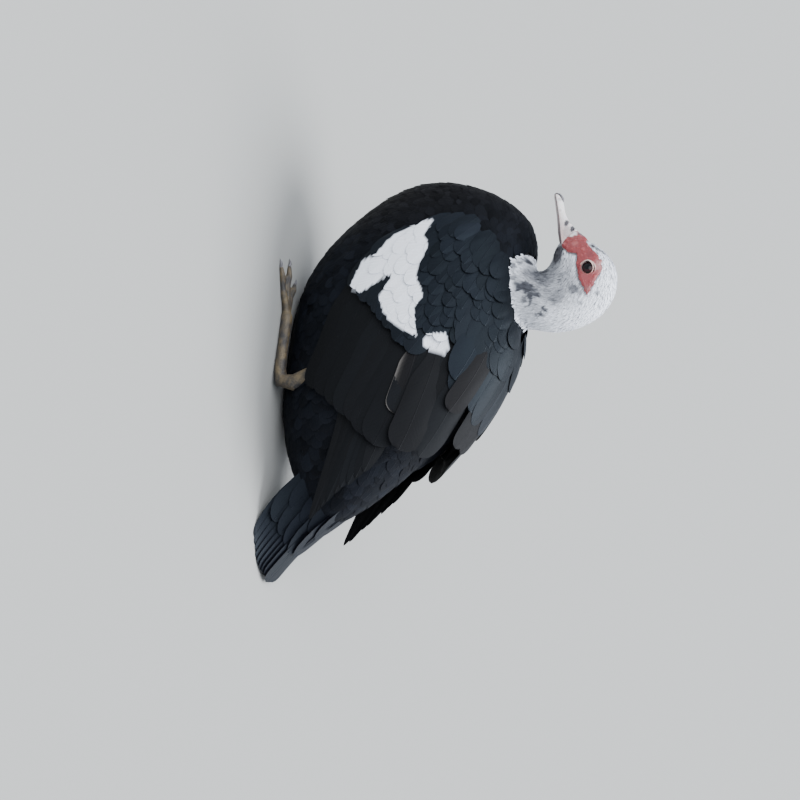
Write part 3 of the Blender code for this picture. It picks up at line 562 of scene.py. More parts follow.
# Points over each feather: its middle line, spread sideways on the surface and lifted
def vaneGrid(surface, rows, breadths, lifts, crown, tilt, across, wave=0.0):
    centres, normals, headings, steps = rows
    side = np.cross(normals, headings)
    found = centres[:, :, None] + side[:, :, None] * (breadths[:, :, None] * across)[..., None]
    normal = np.broadcast_to(normals[:, :, None], found.shape)
    if surface:
        found, normal = snap(surface, found)
    t = np.asarray(steps)
    rise = mix(lifts[:, :1], lifts[:, 1:], t[None])[:, :, None]
    bulge = crown[:, None, None] * (1 - across ** 2) * np.sin(np.pi * np.clip(t, 0.08, 0.97))[:, None]
    bank = tilt[:, None, None] * breadths[:, :, None] * across
    ripple = wave * np.sin(9 * t[:, None] + 5 * across[None])
    return found + normal * (rise + bulge + bank + ripple)[..., None], normal


# Each feather's own map: how far across and along it a point lies, in metres
def bladeMap(breadths, across, steps, lengths):
    length = np.asarray(steps)[None, :, None] * lengths[:, None, None]
    return np.stack(np.broadcast_arrays(breadths[:, :, None] * across, length), -1)


# Joins the feathers in one mesh, with their own map, the bake map and their colours. Without a
# thickness, the underside is flat from edge to edge
def buildFeathers(name, grid, normal, blade, tint, home, thick=0.0):
    count, rows, columns, _ = grid.shape
    inner = columns - 2 if thick else 0
    perFeather = rows * (columns + inner)
    top = grid.reshape(count, -1, 3)
    bladeAll, tintAll = blade.reshape(count, -1, 2), tint.reshape(count, -1, 3)
    upper = np.arange(rows * columns).reshape(rows, columns)
    lower = upper[:, [0, -1]]
    if thick:
        under = grid[:, :, 1:-1] - normal[:, :, 1:-1] * thick
        top = np.concatenate([top, under.reshape(count, -1, 3)], axis=1)
        bladeAll = np.concatenate([bladeAll, blade[:, :, 1:-1].reshape(count, -1, 2)], axis=1)
        tintAll = np.concatenate([tintAll, tint[:, :, 1:-1].reshape(count, -1, 3)], axis=1)
        mid = rows * columns + np.arange(rows * inner).reshape(rows, inner)
        lower = np.concatenate([upper[:, :1], mid, upper[:, -1:]], axis=1)
    faces = []
    for i in range(rows - 1):
        for k in range(columns - 1):
            faces.append((upper[i, k], upper[i + 1, k], upper[i + 1, k + 1], upper[i, k + 1]))
        for k in range(lower.shape[1] - 1):
            faces.append((lower[i, k], lower[i, k + 1], lower[i + 1, k + 1], lower[i + 1, k]))
    faces.append(tuple(upper[0]) + tuple(lower[0, -2:0:-1]))
    faces.append(tuple(upper[-1, ::-1]) + tuple(lower[-1, 1:-1]))
    sizes = np.array([len(face) for face in faces])
    loops = np.concatenate([np.array(face) for face in faces])
    allLoops = (loops[None] + (np.arange(count) * perFeather)[:, None]).ravel()
    starts = np.concatenate([[0], np.cumsum(np.tile(sizes, count))[:-1]])
    mesh = bpy.data.meshes.new(name)
    mesh.vertices.add(count * perFeather)
    mesh.vertices.foreach_set("co", top.astype(np.float32).ravel())
    mesh.loops.add(len(allLoops))
    mesh.loops.foreach_set("vertex_index", allLoops.astype(np.int32))
    mesh.polygons.add(len(starts))
    mesh.polygons.foreach_set("loop_start", starts.astype(np.int32))
    mesh.update(calc_edges=True)
    width = np.abs(bladeAll[:, :, 0]).max(axis=1)[:, None]
    length = bladeAll[:, :, 1].max(axis=1)[:, None]
    reach = np.stack([bladeAll[:, :, 0] / width / 2, bladeAll[:, :, 1] / length - 0.5], -1)
    spot = home[:, None] + reach * vaneSizes["bakePatch"]
    for layer, places in (("blade", bladeAll), ("OFBake", spot)):
        flat = places.reshape(-1, 2)[allLoops]
        mesh.uv_layers.new(name=layer).data.foreach_set("uv", flat.astype(np.float32).ravel())
    setTint(mesh, tintAll.reshape(-1, 3))
    mesh.shade_smooth()
    mesh.set_sharp_from_angle(angle=math.radians(vaneSizes["sharpFrom"]))
    piece = bpy.data.objects.new(name, mesh)
    bpy.context.scene.collection.objects.link(piece)
    print(name, count, "feathers,", int((sizes - 2).sum()) * count, "triangles")
    return piece


# The middle of each feather's patch in the bake map, spread over the whole map by its root
def bakeHome(places):
    spot = np.stack(lineCoordinates(places), -1)
    low, high = spot.min(0), spot.max(0)
    return 0.02 + 0.96 * (spot - low) / np.maximum(high - low, 1e-6)


# Roots strewn over the surface, no nearer to each other than the spacing at that place
def scatter(surface, spacingAt, keep, seed, tries):
    chance = np.random.default_rng(seed)
    share = surface["areas"] / surface["areas"].sum()
    triangle = surface["triangles"][chance.choice(len(share), tries, p=share)]
    r = chance.random((tries, 2))
    r = np.where(r.sum(1, keepdims=True) > 1, 1 - r, r)
    a, b, c = (surface["points"][triangle[:, k]] for k in range(3))
    places = a + (b - a) * r[:, :1] + (c - a) * r[:, 1:]
    places = places[keep(places)]
    spacing = spacingAt(places)
    cell = spacing.max()
    around = [(dx, dy, dz) for dx in (-1, 0, 1) for dy in (-1, 0, 1) for dz in (-1, 0, 1)]
    cells, kept = {}, []
    for i, (place, gap) in enumerate(zip(places.tolist(), spacing.tolist())):
        key = tuple(int(v // cell) for v in place)
        near = (n for dx, dy, dz in around
                for n in cells.get((key[0] + dx, key[1] + dy, key[2] + dz), ()))
        if all((place[0] - n[0]) ** 2 + (place[1] - n[1]) ** 2 + (place[2] - n[2]) ** 2 > gap * gap
               for n in near):
            cells.setdefault(key, []).append(place)
            kept.append(i)
    return places[kept]


coatTracts = {
    # spacing of the roots, length, breadth, lift of root and tip from the outer surface, crown,
    # points across, degrees by which they stray, roots tried, and how uneven their tone is
    "head": {"spacing": 0.00165, "length": 0.0068, "breadth": 0.0025, "lift": (-0.0010, 0.0001),
             "crown": 0.00015, "across": 3, "stray": 11.0, "tries": 320000, "uneven": 0.10},
    "body": {"spacing": 0.0072, "length": 0.0300, "breadth": 0.0180, "lift": (-0.0026, 0.0003),
             "crown": 0.0007, "across": 5, "stray": 6.0, "tries": 60000, "uneven": 0.22},
}
bodySizes = {                   # how large the body's feathers are, as shares of the largest
    "neckFoot": (-0.085, 0.0, 0.262),
    "byNeck": (0.42, 0.035, 0.130),     # beside the neck's foot, and the distances where they grow
    "onBreast": (0.66, -0.19, -0.06),   # on the breast, and between which x they grow
    "byFloor": (0.80, 0.01, 0.06),      # at the floor, and between which heights they grow
}


# Small by the neck and on the breast, and large on the back
def bodySize(places):
    fromNeck = np.linalg.norm(places - np.array(bodySizes["neckFoot"]), axis=1)
    grown, breast, low = (
        mix(bodySizes[key][0], 1.0, smoothStep(*bodySizes[key][1:], measure))
        for key, measure in (("byNeck", fromNeck), ("onBreast", places[:, 0]),
                             ("byFloor", places[:, 2])))
    return np.minimum(grown, breast) * low


faceOutline = [
    (-0.1580, 0.3010), (-0.1580, 0.3092), (-0.1434, 0.3169), (-0.1334, 0.3219), (-0.1255, 0.3288),
    (-0.1133, 0.3394), (-0.1008, 0.3404), (-0.0874, 0.3349), (-0.0715, 0.3276), (-0.0850, 0.3197),
    (-0.0980, 0.3142), (-0.1192, 0.3107), (-0.1222, 0.3019), (-0.1296, 0.2926), (-0.1390, 0.2916),
    (-0.1455, 0.2960), (-0.1530, 0.3010),
]
billReach = [                   # the bill's base, which lies over the front of the head
    (-0.1700, 0.3200), (-0.1530, 0.3090), (-0.1440, 0.3050), (-0.1380, 0.2960), (-0.1305, 0.2928),
    (-0.1318, 0.2878), (-0.1400, 0.2845), (-0.1700, 0.2700),
]


# Where no feathers grow: on the red skin and under the bill's base
def bareHere(places):
    x, z = places[:, 0], places[:, 2]
    return insideOutline(faceOutline, x, z) | insideOutline(billReach, x, z)


# One tract of the coat; edge is how brown its feathers' edges are
def makeCoat(name, coat, tract, keep, seed, sizeAt=lambda places: np.ones(len(places)), edge=0.0):
    sizes = coatTracts[tract]
    roots = scatter(coat, lambda places: sizes["spacing"] * sizeAt(places), keep, seed,
                    sizes["tries"])
    chance = np.random.default_rng(seed + 1)
    count = len(roots)
    scale = sizeAt(roots) * chance.uniform(0.90, 1.12, count)
    _, normal = snap(coat, roots)
    ahead = lieOfCoat(roots, normal)
    turn = np.radians(chance.normal(0, sizes["stray"], count))[:, None]
    ahead = ahead * np.cos(turn) + np.cross(normal, ahead) * np.sin(turn)
    lengths = sizes["length"] * scale
    if tract == "head":
        lengths *= mix(0.72, 1.0, headShare(roots + ahead * lengths[:, None]))
    steps, shares = featherForms[tract]
    rows = layRows(coat, roots, ahead, lengths, steps)
    breadths = (sizes["breadth"] / 2 * scale)[:, None] * np.asarray(shares)[None]
    lifts = np.array(sizes["lift"])[None] * np.minimum(scale, 1.1)[:, None]
    lifts[:, 1] += chance.normal(0, 0.12, count) * (lifts[:, 1] - lifts[:, 0])
    across = np.linspace(-1, 1, sizes["across"])
    grid, gridNormal = vaneGrid(coat, (*rows, steps), breadths, lifts, sizes["crown"] * scale,
                                chance.normal(0, 0.03, count), across)
    grid[..., 2] = np.maximum(grid[..., 2], vaneSizes["floorGap"])
    tone = chance.normal(1.0, sizes["uneven"], count).clip(0.5, 1.6)
    if tract == "head":
        base = headTint(grid.reshape(-1, 3)).reshape(grid.shape)
        tone = np.minimum(tone, 1.06)
    else:
        base = np.broadcast_to(bodyTint(roots)[:, None, None], grid.shape)
    tint = base * tone[:, None, None, None]
    if edge:
        tip = smoothStep(0.80, 1.0, np.asarray(steps))[None, :, None]
        rim = np.maximum(np.abs(across)[None, None] ** 3, tip)
        tint = tint + rim[..., None] * edge * np.array(bodyMarks["brown"])
    return buildFeathers(name, grid, gridNormal, bladeMap(breadths, across, steps, lengths), tint,
                         bakeHome(roots))


# The wing's feathers lie on the mantle sheet. Each row: how many, first and last root, first and
# last tip as station and angle, first and last breadth, lift of root and tip, tilt, and the form

wingRows = {
    "primaries": (9, (6.2, 94), (6.3, 70), (9.95, 84), (8.60, 58), (0.019, 0.023),
                  (-0.0040, 0.0005), -0.10, "pointed"),
    "secondaries": (7, (4.6, 107), (5.75, 68), (6.90, 115), (7.95, 64), (0.036, 0.041),
                    (0.0010, 0.0056), -0.09, "blunt"),
    "tertials": (5, (5.85, 68), (5.40, 38), (7.20, 60), (7.80, 28), (0.026, 0.034),
                 (0.0040, 0.0080), -0.07, "blunt"),
}
covertRows = {
    "greater": (12, (3.85, 93), (5.45, 64), (4.82, 110), (6.10, 71), (0.024, 0.026),
                (0.0030, 0.0076), -0.07, "covert"),
    "scapulars": (6, (4.75, 42), (5.10, 10), (5.85, 46), (6.15, 12), (0.028, 0.030),
                  (0.0030, 0.0088), -0.08, "covert"),
    "longScapulars": (4, (5.25, 37), (5.55, 8), (6.60, 40), (6.90, 9), (0.027, 0.029),
                      (0.0035, 0.0090), -0.08, "covert"),
}
# Small coverts and mantle feathers, in staggered rows from the wing's front edge backwards
smallCoverts = {
    "rows": (3.26, 5.45, 0.200),                # first and last station, and the step between
    "upper": ((3.3, 3.7, 4.1, 4.5, 5.0, 5.6), (56, 44, 33, 21, 9, 7)),      # station and angle
    "lower": ((3.3, 3.6, 4.0, 4.6, 5.0, 5.4, 5.6), (74, 83, 90, 84, 75, 64, 58)),
    "angleStep": 6.7, "length": 0.57, "breadth": (0.0190, 0.0225),
    "lifts": (0.0022, 0.0076), "tilt": -0.08,
    "clear": (0.0, 0.0, -0.006),                # how far below the white's edge their middles stay
}
# Feathers that stand out in the photo: root, tip, breadth, lifts, form, brownness, pale edge
markedFeathers = [
    ((5.95, 57), (7.88, 46), 0.034, (0.0060, 0.0112), "blunt", 0.40, 0.0),
    ((5.85, 68), (7.22, 61), 0.026, (0.0045, 0.0080), "blunt", 0.55, 0.8),
    ((5.60, 30), (6.88, 33), 0.024, (0.0070, 0.0118), "blunt", 0.80, 0.0),
    ((5.95, 13), (7.38, 6), 0.026, (0.0050, 0.0090), "blunt", 0.50, 0.0),
    ((5.30, 36), (6.38, 41), 0.037, (0.0055, 0.0108), "covert", 0.0, 0.0),
]


# Grid, own map, colours and roots of feathers of one form, each given by its ends and sizes
def wingVanes(mantle, side, feathers, formName, rowCount, acrossCount, chance):
    count = len(feathers)
    root, tip, breadth, lifts, tilt, brown = (
        np.array([f[k] for f in feathers]) for k in ("root", "tip", "breadth", "lifts", "tilt", "brown"))
    if formName == "covert":
        listed = np.arange(len(featherForms["covert"][0]))
        finer = np.linspace(0, listed[-1], rowCount)
        steps, shares = (np.interp(finer, listed, v) for v in featherForms["covert"])
    else:
        steps, shares = bladeForm(formName, rowCount)
    place = root[:, None] + (tip - root)[:, None] * steps[None, :, None]
    centres = onSheet(mantleStations, place[..., 0], place[..., 1] * side)
    raised = centres - smallCoverts["clear"]
    covered = headShare(raised.reshape(-1, 3)).reshape(count, -1) > 0.5
    late = steps[np.argmin(covered, axis=1)]            # a vane begins where the white ends
    place = place + (tip[:, None] - place) * late[:, None, None]
    centres = onSheet(mantleStations, place[..., 0], place[..., 1] * side)
    centres, normals = snap(mantle, centres)
    headings = np.gradient(centres, axis=1)
    headings = unit(headings - normals * (headings * normals).sum(-1, keepdims=True))
    lengths = np.linalg.norm(np.diff(centres, axis=1), axis=-1).sum(1)
    breadths = breadth[:, None] / 2 * shares[None] * np.ones((count, 1))
    across = np.linspace(-1, 1, acrossCount)
    grid, normal = vaneGrid(mantle, (centres, normals, headings, steps), breadths, lifts,
                            np.full(count, 0.0011), tilt * side, across, 0.00015)
    tint = wingTint(grid, brown, chance, "black" if formName == "covert" else "quill")
    edge = np.array([f.get("edge", 0.0) for f in feathers])[:, None, None]
    rim = edge * smoothStep(0.10, 0.35, steps)[None, :, None] * np.abs(across) ** 6
    tint = between(tint, bodyMarks["paleEdge"], rim)
    return grid, normal, bladeMap(breadths, across, steps, lengths), tint, centres[:, 0]


def rowFeathers(rows, chance):
    made = {}
    for count, rootA, rootB, tipA, tipB, breadths, lifts, tilt, form in rows.values():
        for i in range(count):
            t = i / (count - 1)
            made.setdefault(form, []).append({
                "root": (mix(rootA[0], rootB[0], t), mix(rootA[1], rootB[1], t)),
                "tip": (mix(tipA[0], tipB[0], t) + chance.uniform(-0.05, 0.05),
                        mix(tipA[1], tipB[1], t) + chance.uniform(-1.2, 1.2)),
                "breadth": mix(*breadths, t) * chance.uniform(0.94, 1.06),
                "lifts": (lifts[0], lifts[1] + chance.uniform(-0.0004, 0.0004)),
                "tilt": tilt, "brown": chance.uniform(0.0, 0.25)})
    return made


def smallCovertFeathers(chance):
    sizes = smallCoverts
    made = []
    first, last, step = sizes["rows"]
    for row, station in enumerate(np.arange(first, last, step)):
        top = np.interp(station, *sizes["upper"]) + (row % 2) * sizes["angleStep"] / 2
        for angle in np.arange(top, np.interp(station, *sizes["lower"]) + 2, sizes["angleStep"]):
            u = station + chance.uniform(-0.05, 0.05)
            a = angle + chance.uniform(-1.3, 1.3)
            size = chance.uniform(0.88, 1.12)
            drift = a / 70 * (8 + 8 * min(max(5.3 - u, 0), 2))
            length = sizes["length"] * size
            middle = onSheet(mantleStations, np.array([u + length * 0.35]), np.array([a]))
            if headShare(middle - sizes["clear"])[0] > 0.5:
                continue
            made.append({
                "root": (u, a), "tip": (u + length, a + drift * length),
                "breadth": mix(*sizes["breadth"], 1 - a / 90) * size,
                "lifts": (sizes["lifts"][0], sizes["lifts"][1] + chance.uniform(-0.0006, 0.0010)),
                "tilt": sizes["tilt"] * chance.uniform(0.4, 1.5), "brown": chance.uniform(0.0, 0.10)})
    return made


# Black with brown on some feathers, and the white patches painted where they fall
def wingTint(grid, brown, chance, plain):
    x, z = grid[..., 0], grid[..., 2]
    base = np.array(bodyMarks[plain]) * chance.normal(1.0, 0.2, (len(grid), 1, 1, 1)).clip(0.5, 1.6)
    tint = between(base, bodyMarks["brown"], brown[:, None, None])
    shade = smoothStep(*bodyMarks["mantleHeight"], z)
    tint = tint * mix(1.0, bodyMarks["mantleShade"], shade)[..., None]
    for outline in wingPatches:
        tint[insideOutline(outline, x, z)] = bodyMarks["white"]
    return tint


# Each piece of the wing: the form of its feathers, and their points along and across
wingPieces = {
    "coverts": ("covert", 17, 11), "quills": ("blunt", 26, 9), "primaries": ("pointed", 26, 7),
}


def makeWing(word, side, mantle):
    chance = np.random.default_rng(40 + side)
    made = rowFeathers(wingRows, chance)
    made.update(rowFeathers(covertRows, chance))
    made["covert"] += smallCovertFeathers(chance)
    for root, tip, breadth, lifts, form, brown, edge in markedFeathers:
        made[form].append({"root": root, "tip": tip, "breadth": breadth, "lifts": lifts,
                           "tilt": -0.06, "brown": brown, "edge": edge})
    pieces = []
    for name, (form, rows, columns) in wingPieces.items():
        grid, normal, blade, tint, roots = wingVanes(mantle, side, made[form], form, rows, columns,
                                                     chance)
        pieces.append(buildFeathers(f"{name}_{word}", grid, normal, blade, tint, bakeHome(roots),
                                    vaneSizes["thick"]))
    return pieces


# The tail: stiff feathers fanned over a sheet that sags between its roots and its tips

tailShape = {
    "middleRoot": (0.1500, 0.0, 0.0860), "middleTip": (0.2370, 0.0, 0.0040),
    "outerRoot": (0.1260, 0.0280, 0.0480), "outerTip": (0.2040, 0.0370, 0.0060),
    "sag": 0.0060,
    # each row: how many, how far out, root and tip along the sheet, breadth, lift of the root and
    # tip, how much lower the outermost lie, tilt, and the form of the blade
    "stiff": (18, 1.0, 0.02, 1.00, 0.0235, (0.0010, 0.0010), 0.0065, 0.085, "tail"),
    "upper": (9, 0.95, -0.20, 0.66, 0.0270, (0.0030, 0.0042), 0.0040, 0.080, "covert"),
    "top": (7, 0.85, -0.42, 0.40, 0.0270, (0.0062, 0.0062), 0.0040, 0.080, "covert"),
    "under": (8, 0.95, -0.20, 0.62, 0.0290, (-0.0100, -0.0070), 0.0030, 0.080, "covert"),
}


# Points of the sheet: place runs from -1 to 1 over the fan, and t from the roots to the tips
def onTail(place, t):
    share = place ** 2
    ends = []
    for key in ("Root", "Tip"):
        middle, outer = tailShape["middle" + key], tailShape["outer" + key]
        ends.append(np.stack([mix(middle[0], outer[0], share), outer[1] * place,
                              mix(middle[2], outer[2], share)], -1))
    found = ends[0] + (ends[1] - ends[0]) * t[..., None]
    found[..., 2] -= tailShape["sag"] * np.sin(np.pi * np.clip(t, 0, 1))
    return found


def makeTailRow(name, row, chance):
    count, spread, start, reach, breadth, lifts, droop, tilt, form = tailShape[row]
    stiff = form == "tail"
    steps, shares = bladeForm("tail", 26) if stiff else map(np.array, featherForms["covert"])
    place = spread * np.linspace(-1, 1, count)[:, None] * np.ones((1, len(steps)))
    end = reach * (1 + chance.uniform(-0.015, 0.015, (count, 1)))
    t = start + (end - start) * steps[None]
    h = 0.02                    # step for the directions of the sheet
    centres = onTail(place, t)
    side = unit(onTail(place + h, t) - onTail(place - h, t))
    ahead = unit(onTail(place, t + h) - onTail(place, t - h))
    normals = unit(np.cross(ahead, side))
    low = np.abs(place[:, :1]) * droop
    sizes = breadth * chance.uniform(0.95, 1.05, (count, 1))
    breadths = sizes / 2 * shares[None]
    across = np.linspace(-1, 1, 9 if stiff else 7)
    grid, normal = vaneGrid(None, (centres, normals, ahead, steps), breadths,
                            np.array(lifts)[None] - low, np.full(count, 0.0010),
                            tilt * np.sign(place[:, 0]), across, 0.00012)
    grid[..., 2] = np.maximum(grid[..., 2], vaneSizes["floorGap"])
    lengths = np.linalg.norm(np.diff(centres, axis=1), axis=-1).sum(1)
    tone = chance.normal(1.0, 0.15, (count, 1, 1, 1))
    tint = np.broadcast_to(np.array(bodyMarks["tail"]) * tone, grid.shape)
    return buildFeathers(name, grid, normal, bladeMap(breadths, across, steps, lengths), tint,
                         bakeHome(centres[:, 0]), vaneSizes["thick"])


# The bare red face: granules and bulbs over the skin, and a pale broken ring around the eye

eyeShape = {
    "place": (-0.1030, 0.0168, 0.3255),     # of the left eye's ball, with y outwards
    "radius": 0.0089, "cornea": 0.0005,     # and how far the cornea swells
    "drop": 0.0012,                         # how much lower the ball lies than its lids
    "pupil": 0.42, "iris": 0.70,            # how far they reach, as angles from the axis
    "lean": (-0.14, 0.16),                  # how the axis leans forwards and upwards
    "pupilTint": (0.004, 0.004, 0.005), "irisTint": (0.026, 0.0070, 0.0095),
    "ballTint": (0.016, 0.010, 0.008),
}
faceShape = {
    "voxel": 0.00045,
    # how many, their radii, their height as a share of the radius, and how they crowd to the bill
    "bulbs": (150, (0.0009, 0.0027), 0.30, 1.8),
    "grains": (520, (0.0004, 0.0010), 0.38, 1.1),
    "bumpSpan": (-0.154, 0.084),        # where they begin, and over what length
    "bumpHeights": (0.292, 0.342),
    "waver": 0.0007,            # how far the outline wavers
    "waverBreadth": 0.004,
    "edgeFall": 0.0009,         # how far the skin falls towards its outline, and over what breadth
    "edgeBreadth": 0.0035,
    "calm": (0.0085, 0.0110),   # no bumps nearer to the eye than this, and all of them further out
    "meet": (0.0002, 0.0014),   # how near the middle the two sides are drawn together
    "ring": (0.0060, 0.0090),   # inner and outer radius of the pale ring around the eye
    "red": (0.345, 0.060, 0.063), "deep": (0.17, 0.024, 0.029), "pale": (0.46, 0.17, 0.17),
    "cream": (0.70, 0.54, 0.48),
    "patches": [                # x, z, radius, colour and strength of places of another colour
        (-0.1478, 0.3036, 0.0046, (0.70, 0.66, 0.65), 0.97),
        (-0.1448, 0.3016, 0.0036, (0.70, 0.66, 0.65), 0.95),
        (-0.1496, 0.3078, 0.0030, (0.09, 0.07, 0.09), 0.90),
        (-0.1475, 0.3118, 0.0030, (0.20, 0.11, 0.14), 0.50),
        (-0.1082, 0.3375, 0.0085, (0.42, 0.23, 0.22), 0.60),
        (-0.1195, 0.3262, 0.0055, (0.15, 0.032, 0.038), 0.55),
        (-0.1290, 0.3225, 0.0050, (0.20, 0.045, 0.045), 0.35),
        (-0.1330, 0.3080, 0.0045, (0.46, 0.15, 0.14), 0.50),
        (-0.0800, 0.3270, 0.0050, (0.24, 0.10, 0.10), 0.50),
    ],
}


# How far each point is from the outline
def outlineDistance(outline, x, z):
    best = np.full(x.shape, 1.0)
    for (xa, za), (xb, zb) in zip(outline, outline[1:] + outline[:1]):
        rx, rz = xb - xa, zb - za
        t = np.clip(((x - xa) * rx + (z - za) * rz) / (rx * rx + rz * rz), 0, 1)
        best = np.minimum(best, np.hypot(x - xa - t * rx, z - za - t * rz))
    return best


# Rounded bumps strewn in the side view: at each point, the height of the tallest there
def bumpField(x, z, chance, count, radii, height, crowd):
    found = np.zeros(len(x))
    front, span = faceShape["bumpSpan"]
    for _ in range(count):
        bx = front + span * chance.random() ** crowd
        bz = chance.uniform(*faceShape["bumpHeights"])
        radius = chance.uniform(*radii) * (1.0 if bx < -0.125 else 0.65)
        far2 = ((x - bx) ** 2 + (z - bz) ** 2) / radius ** 2
        found = np.maximum(found, height * radius * np.clip(1 - far2, 0, 1) ** 0.75)
    return found


def makeFace(word, side):
    face = shellOf("faceSkin_" + word, faceShape["voxel"], 6, "face_" + word)
    places, normals = pointsOf(face), vertexNormals(face)
    x, y, z = places.T
    chance = np.random.default_rng(60 + side)
    outward = np.clip(normals[:, 1] * -side * 1.6, 0, 1)
    bulbs = bumpField(x, z, chance, *faceShape["bulbs"])
    grains = bumpField(x, z, chance, *faceShape["grains"])
    ex, _, ez = eyeShape["place"]
    fromEye = np.hypot(x - ex, z - ez)
    calm = smoothStep(*faceShape["calm"], fromEye)
    inside = outlineDistance(faceOutline, x, z)
    shift = faceShape["waver"] * (1 - smoothStep(0.0, faceShape["waverBreadth"], inside))
    x = x + shift * np.sin(610 * z + 4 * np.sin(330 * x))
    z = z + shift * np.cos(560 * x + 3 * np.sin(410 * z))
    places = np.stack([x, y, z], -1)
    fall = faceShape["edgeFall"] * (1 - smoothStep(0.0, faceShape["edgeBreadth"], inside))
    rise = (bulbs + grains) * calm + grains * 0.4 * (1 - calm)
    places = places + normals * (outward * (rise - fall))[:, None]
    places[:, 1] *= smoothStep(*faceShape["meet"], np.abs(places[:, 1]))
    setPoints(face, places)
    crest = np.clip(rise / 0.0006, 0, 1)
    tint = between(faceShape["deep"], faceShape["red"], 0.45 + 0.55 * crest)
    tint = between(tint, faceShape["pale"], smoothStep(0.7, 1.3, rise / 0.0007) * 0.4)
    ripple = 0.15 * np.sin(900 * x) * np.sin(1100 * z)
    for px, pz, radius, colour, strength in faceShape["patches"]:
        near = 1 - smoothStep(0.35, 1.0, np.hypot(x - px, z - pz) / radius + ripple)
        tint = between(tint, colour, strength * near)
    turn = np.arctan2(z - ez, -(x - ex))
    broken = 0.16 + 0.74 * np.cos(turn - 0.5) + 0.14 * np.sin(5 * turn + 1.0)
    broken = np.clip(broken + 0.12 * np.sin(11 * turn), 0, 1)
    low, high = faceShape["ring"]
    ring = smoothStep(low - 0.0004, low + 0.0002, fromEye)
    ring = ring * (1 - smoothStep(high - 0.0009, high, fromEye))
    return finishShell(face, between(tint, faceShape["cream"], ring * broken))


# The lids are dark beside the eye, cream at their front and top, and red elsewhere
lidShape = {
    "radius": 0.0071, "thick": 0.0011,      # of the ring that both lids form
    "high": (0.80, 0.86),                   # its height above and below, as shares of its length
    "corner": 0.10,                         # how far the front corner is drawn out
    "level": 0.0239,                        # how far out from the middle plane it lies
    "lean": (0.0006, 0.0014),               # and how much less so behind and above
    "darkTo": (0.0066, 0.0073),             # radii between which the dark inner edge ends
    "inner": (0.018, 0.010, 0.011), "front": (0.70, 0.54, 0.48), "rest": (0.30, 0.090, 0.080),
}


# The rims of the lids: a ring around the eyeball, a little flatter at the top
def makeLids(word, side):
    ex, _, ez = eyeShape["place"]
    deselectAll()
    bpy.ops.mesh.primitive_torus_add(major_segments=96, minor_segments=20,
                                     major_radius=lidShape["radius"], minor_radius=lidShape["thick"])
    ring = bpy.context.object
    ring.name = ring.data.name = "lids_" + word
    places = pointsOf(ring)
    turn = np.arctan2(places[:, 1], places[:, 0])
    far = np.hypot(places[:, 0], places[:, 1])
    outer = smoothStep(*lidShape["darkTo"], far)
    front = np.clip(0.25 + 0.75 * np.cos(turn - 2.6), 0, 1)
    tint = between(lidShape["inner"], between(lidShape["rest"], lidShape["front"], front), outer)
    far *= 1 + lidShape["corner"] * np.clip(-np.cos(turn), 0, 1) ** 8
    thick = places[:, 2] * (1 + 0.18 * np.sin(23 * turn) * np.sin(7 * turn + 1))
    height = np.where(np.sin(turn) > 0, *lidShape["high"])
    x = ex + np.cos(turn) * far
    z = ez + np.sin(turn) * far * height
    behind, above = lidShape["lean"]
    level = lidShape["level"] - behind * np.cos(turn) - above * np.sin(turn)
    setPoints(ring, np.stack([x, -side * (level + thick), z], -1))
    bpy.ops.object.mode_set(mode="EDIT")
    bpy.ops.mesh.select_all(action="SELECT")
    bpy.ops.mesh.normals_make_consistent(inside=False)
    bpy.ops.object.mode_set(mode="OBJECT")
    return finishShell(ring, tint)


# An eyeball with its cornea, pupil and iris, turned the way that the bird looks
def makeEye(word, side):
    ex, ey, ez = eyeShape["place"]
    ez -= eyeShape["drop"]
    axis = unit(np.array((eyeShape["lean"][0], -side, eyeShape["lean"][1])))
    deselectAll()
    bpy.ops.mesh.primitive_uv_sphere_add(segments=72, ring_count=64, radius=1.0)
    eye = bpy.context.object
    eye.name = eye.data.name = "eyeball_" + word
    turned = np.array(Vector((0, 0, 1)).rotation_difference(Vector(axis)).to_matrix())
    ball = pointsOf(eye)
    away = np.arccos(np.clip(ball[:, 2], -1, 1))
    radius = eyeShape["radius"] + eyeShape["cornea"] * (1 - smoothStep(0.30, 0.80, away))
    setPoints(eye, (ball * radius[:, None]) @ turned.T + np.array((ex, -side * ey, ez)))
    turn = np.arctan2(ball[:, 1], ball[:, 0])
    rays = (1 + 0.35 * np.sin(31 * turn) * np.sin(17 * turn))[:, None]
    pupil, iris = eyeShape["pupil"], eyeShape["iris"]
    tint = between(np.array(eyeShape["irisTint"]) * rays, eyeShape["ballTint"],
                   smoothStep(iris - 0.05, iris, away))
    tint = between(eyeShape["pupilTint"], tint, smoothStep(pupil - 0.02, pupil + 0.02, away))
    return finishShell(eye, tint)
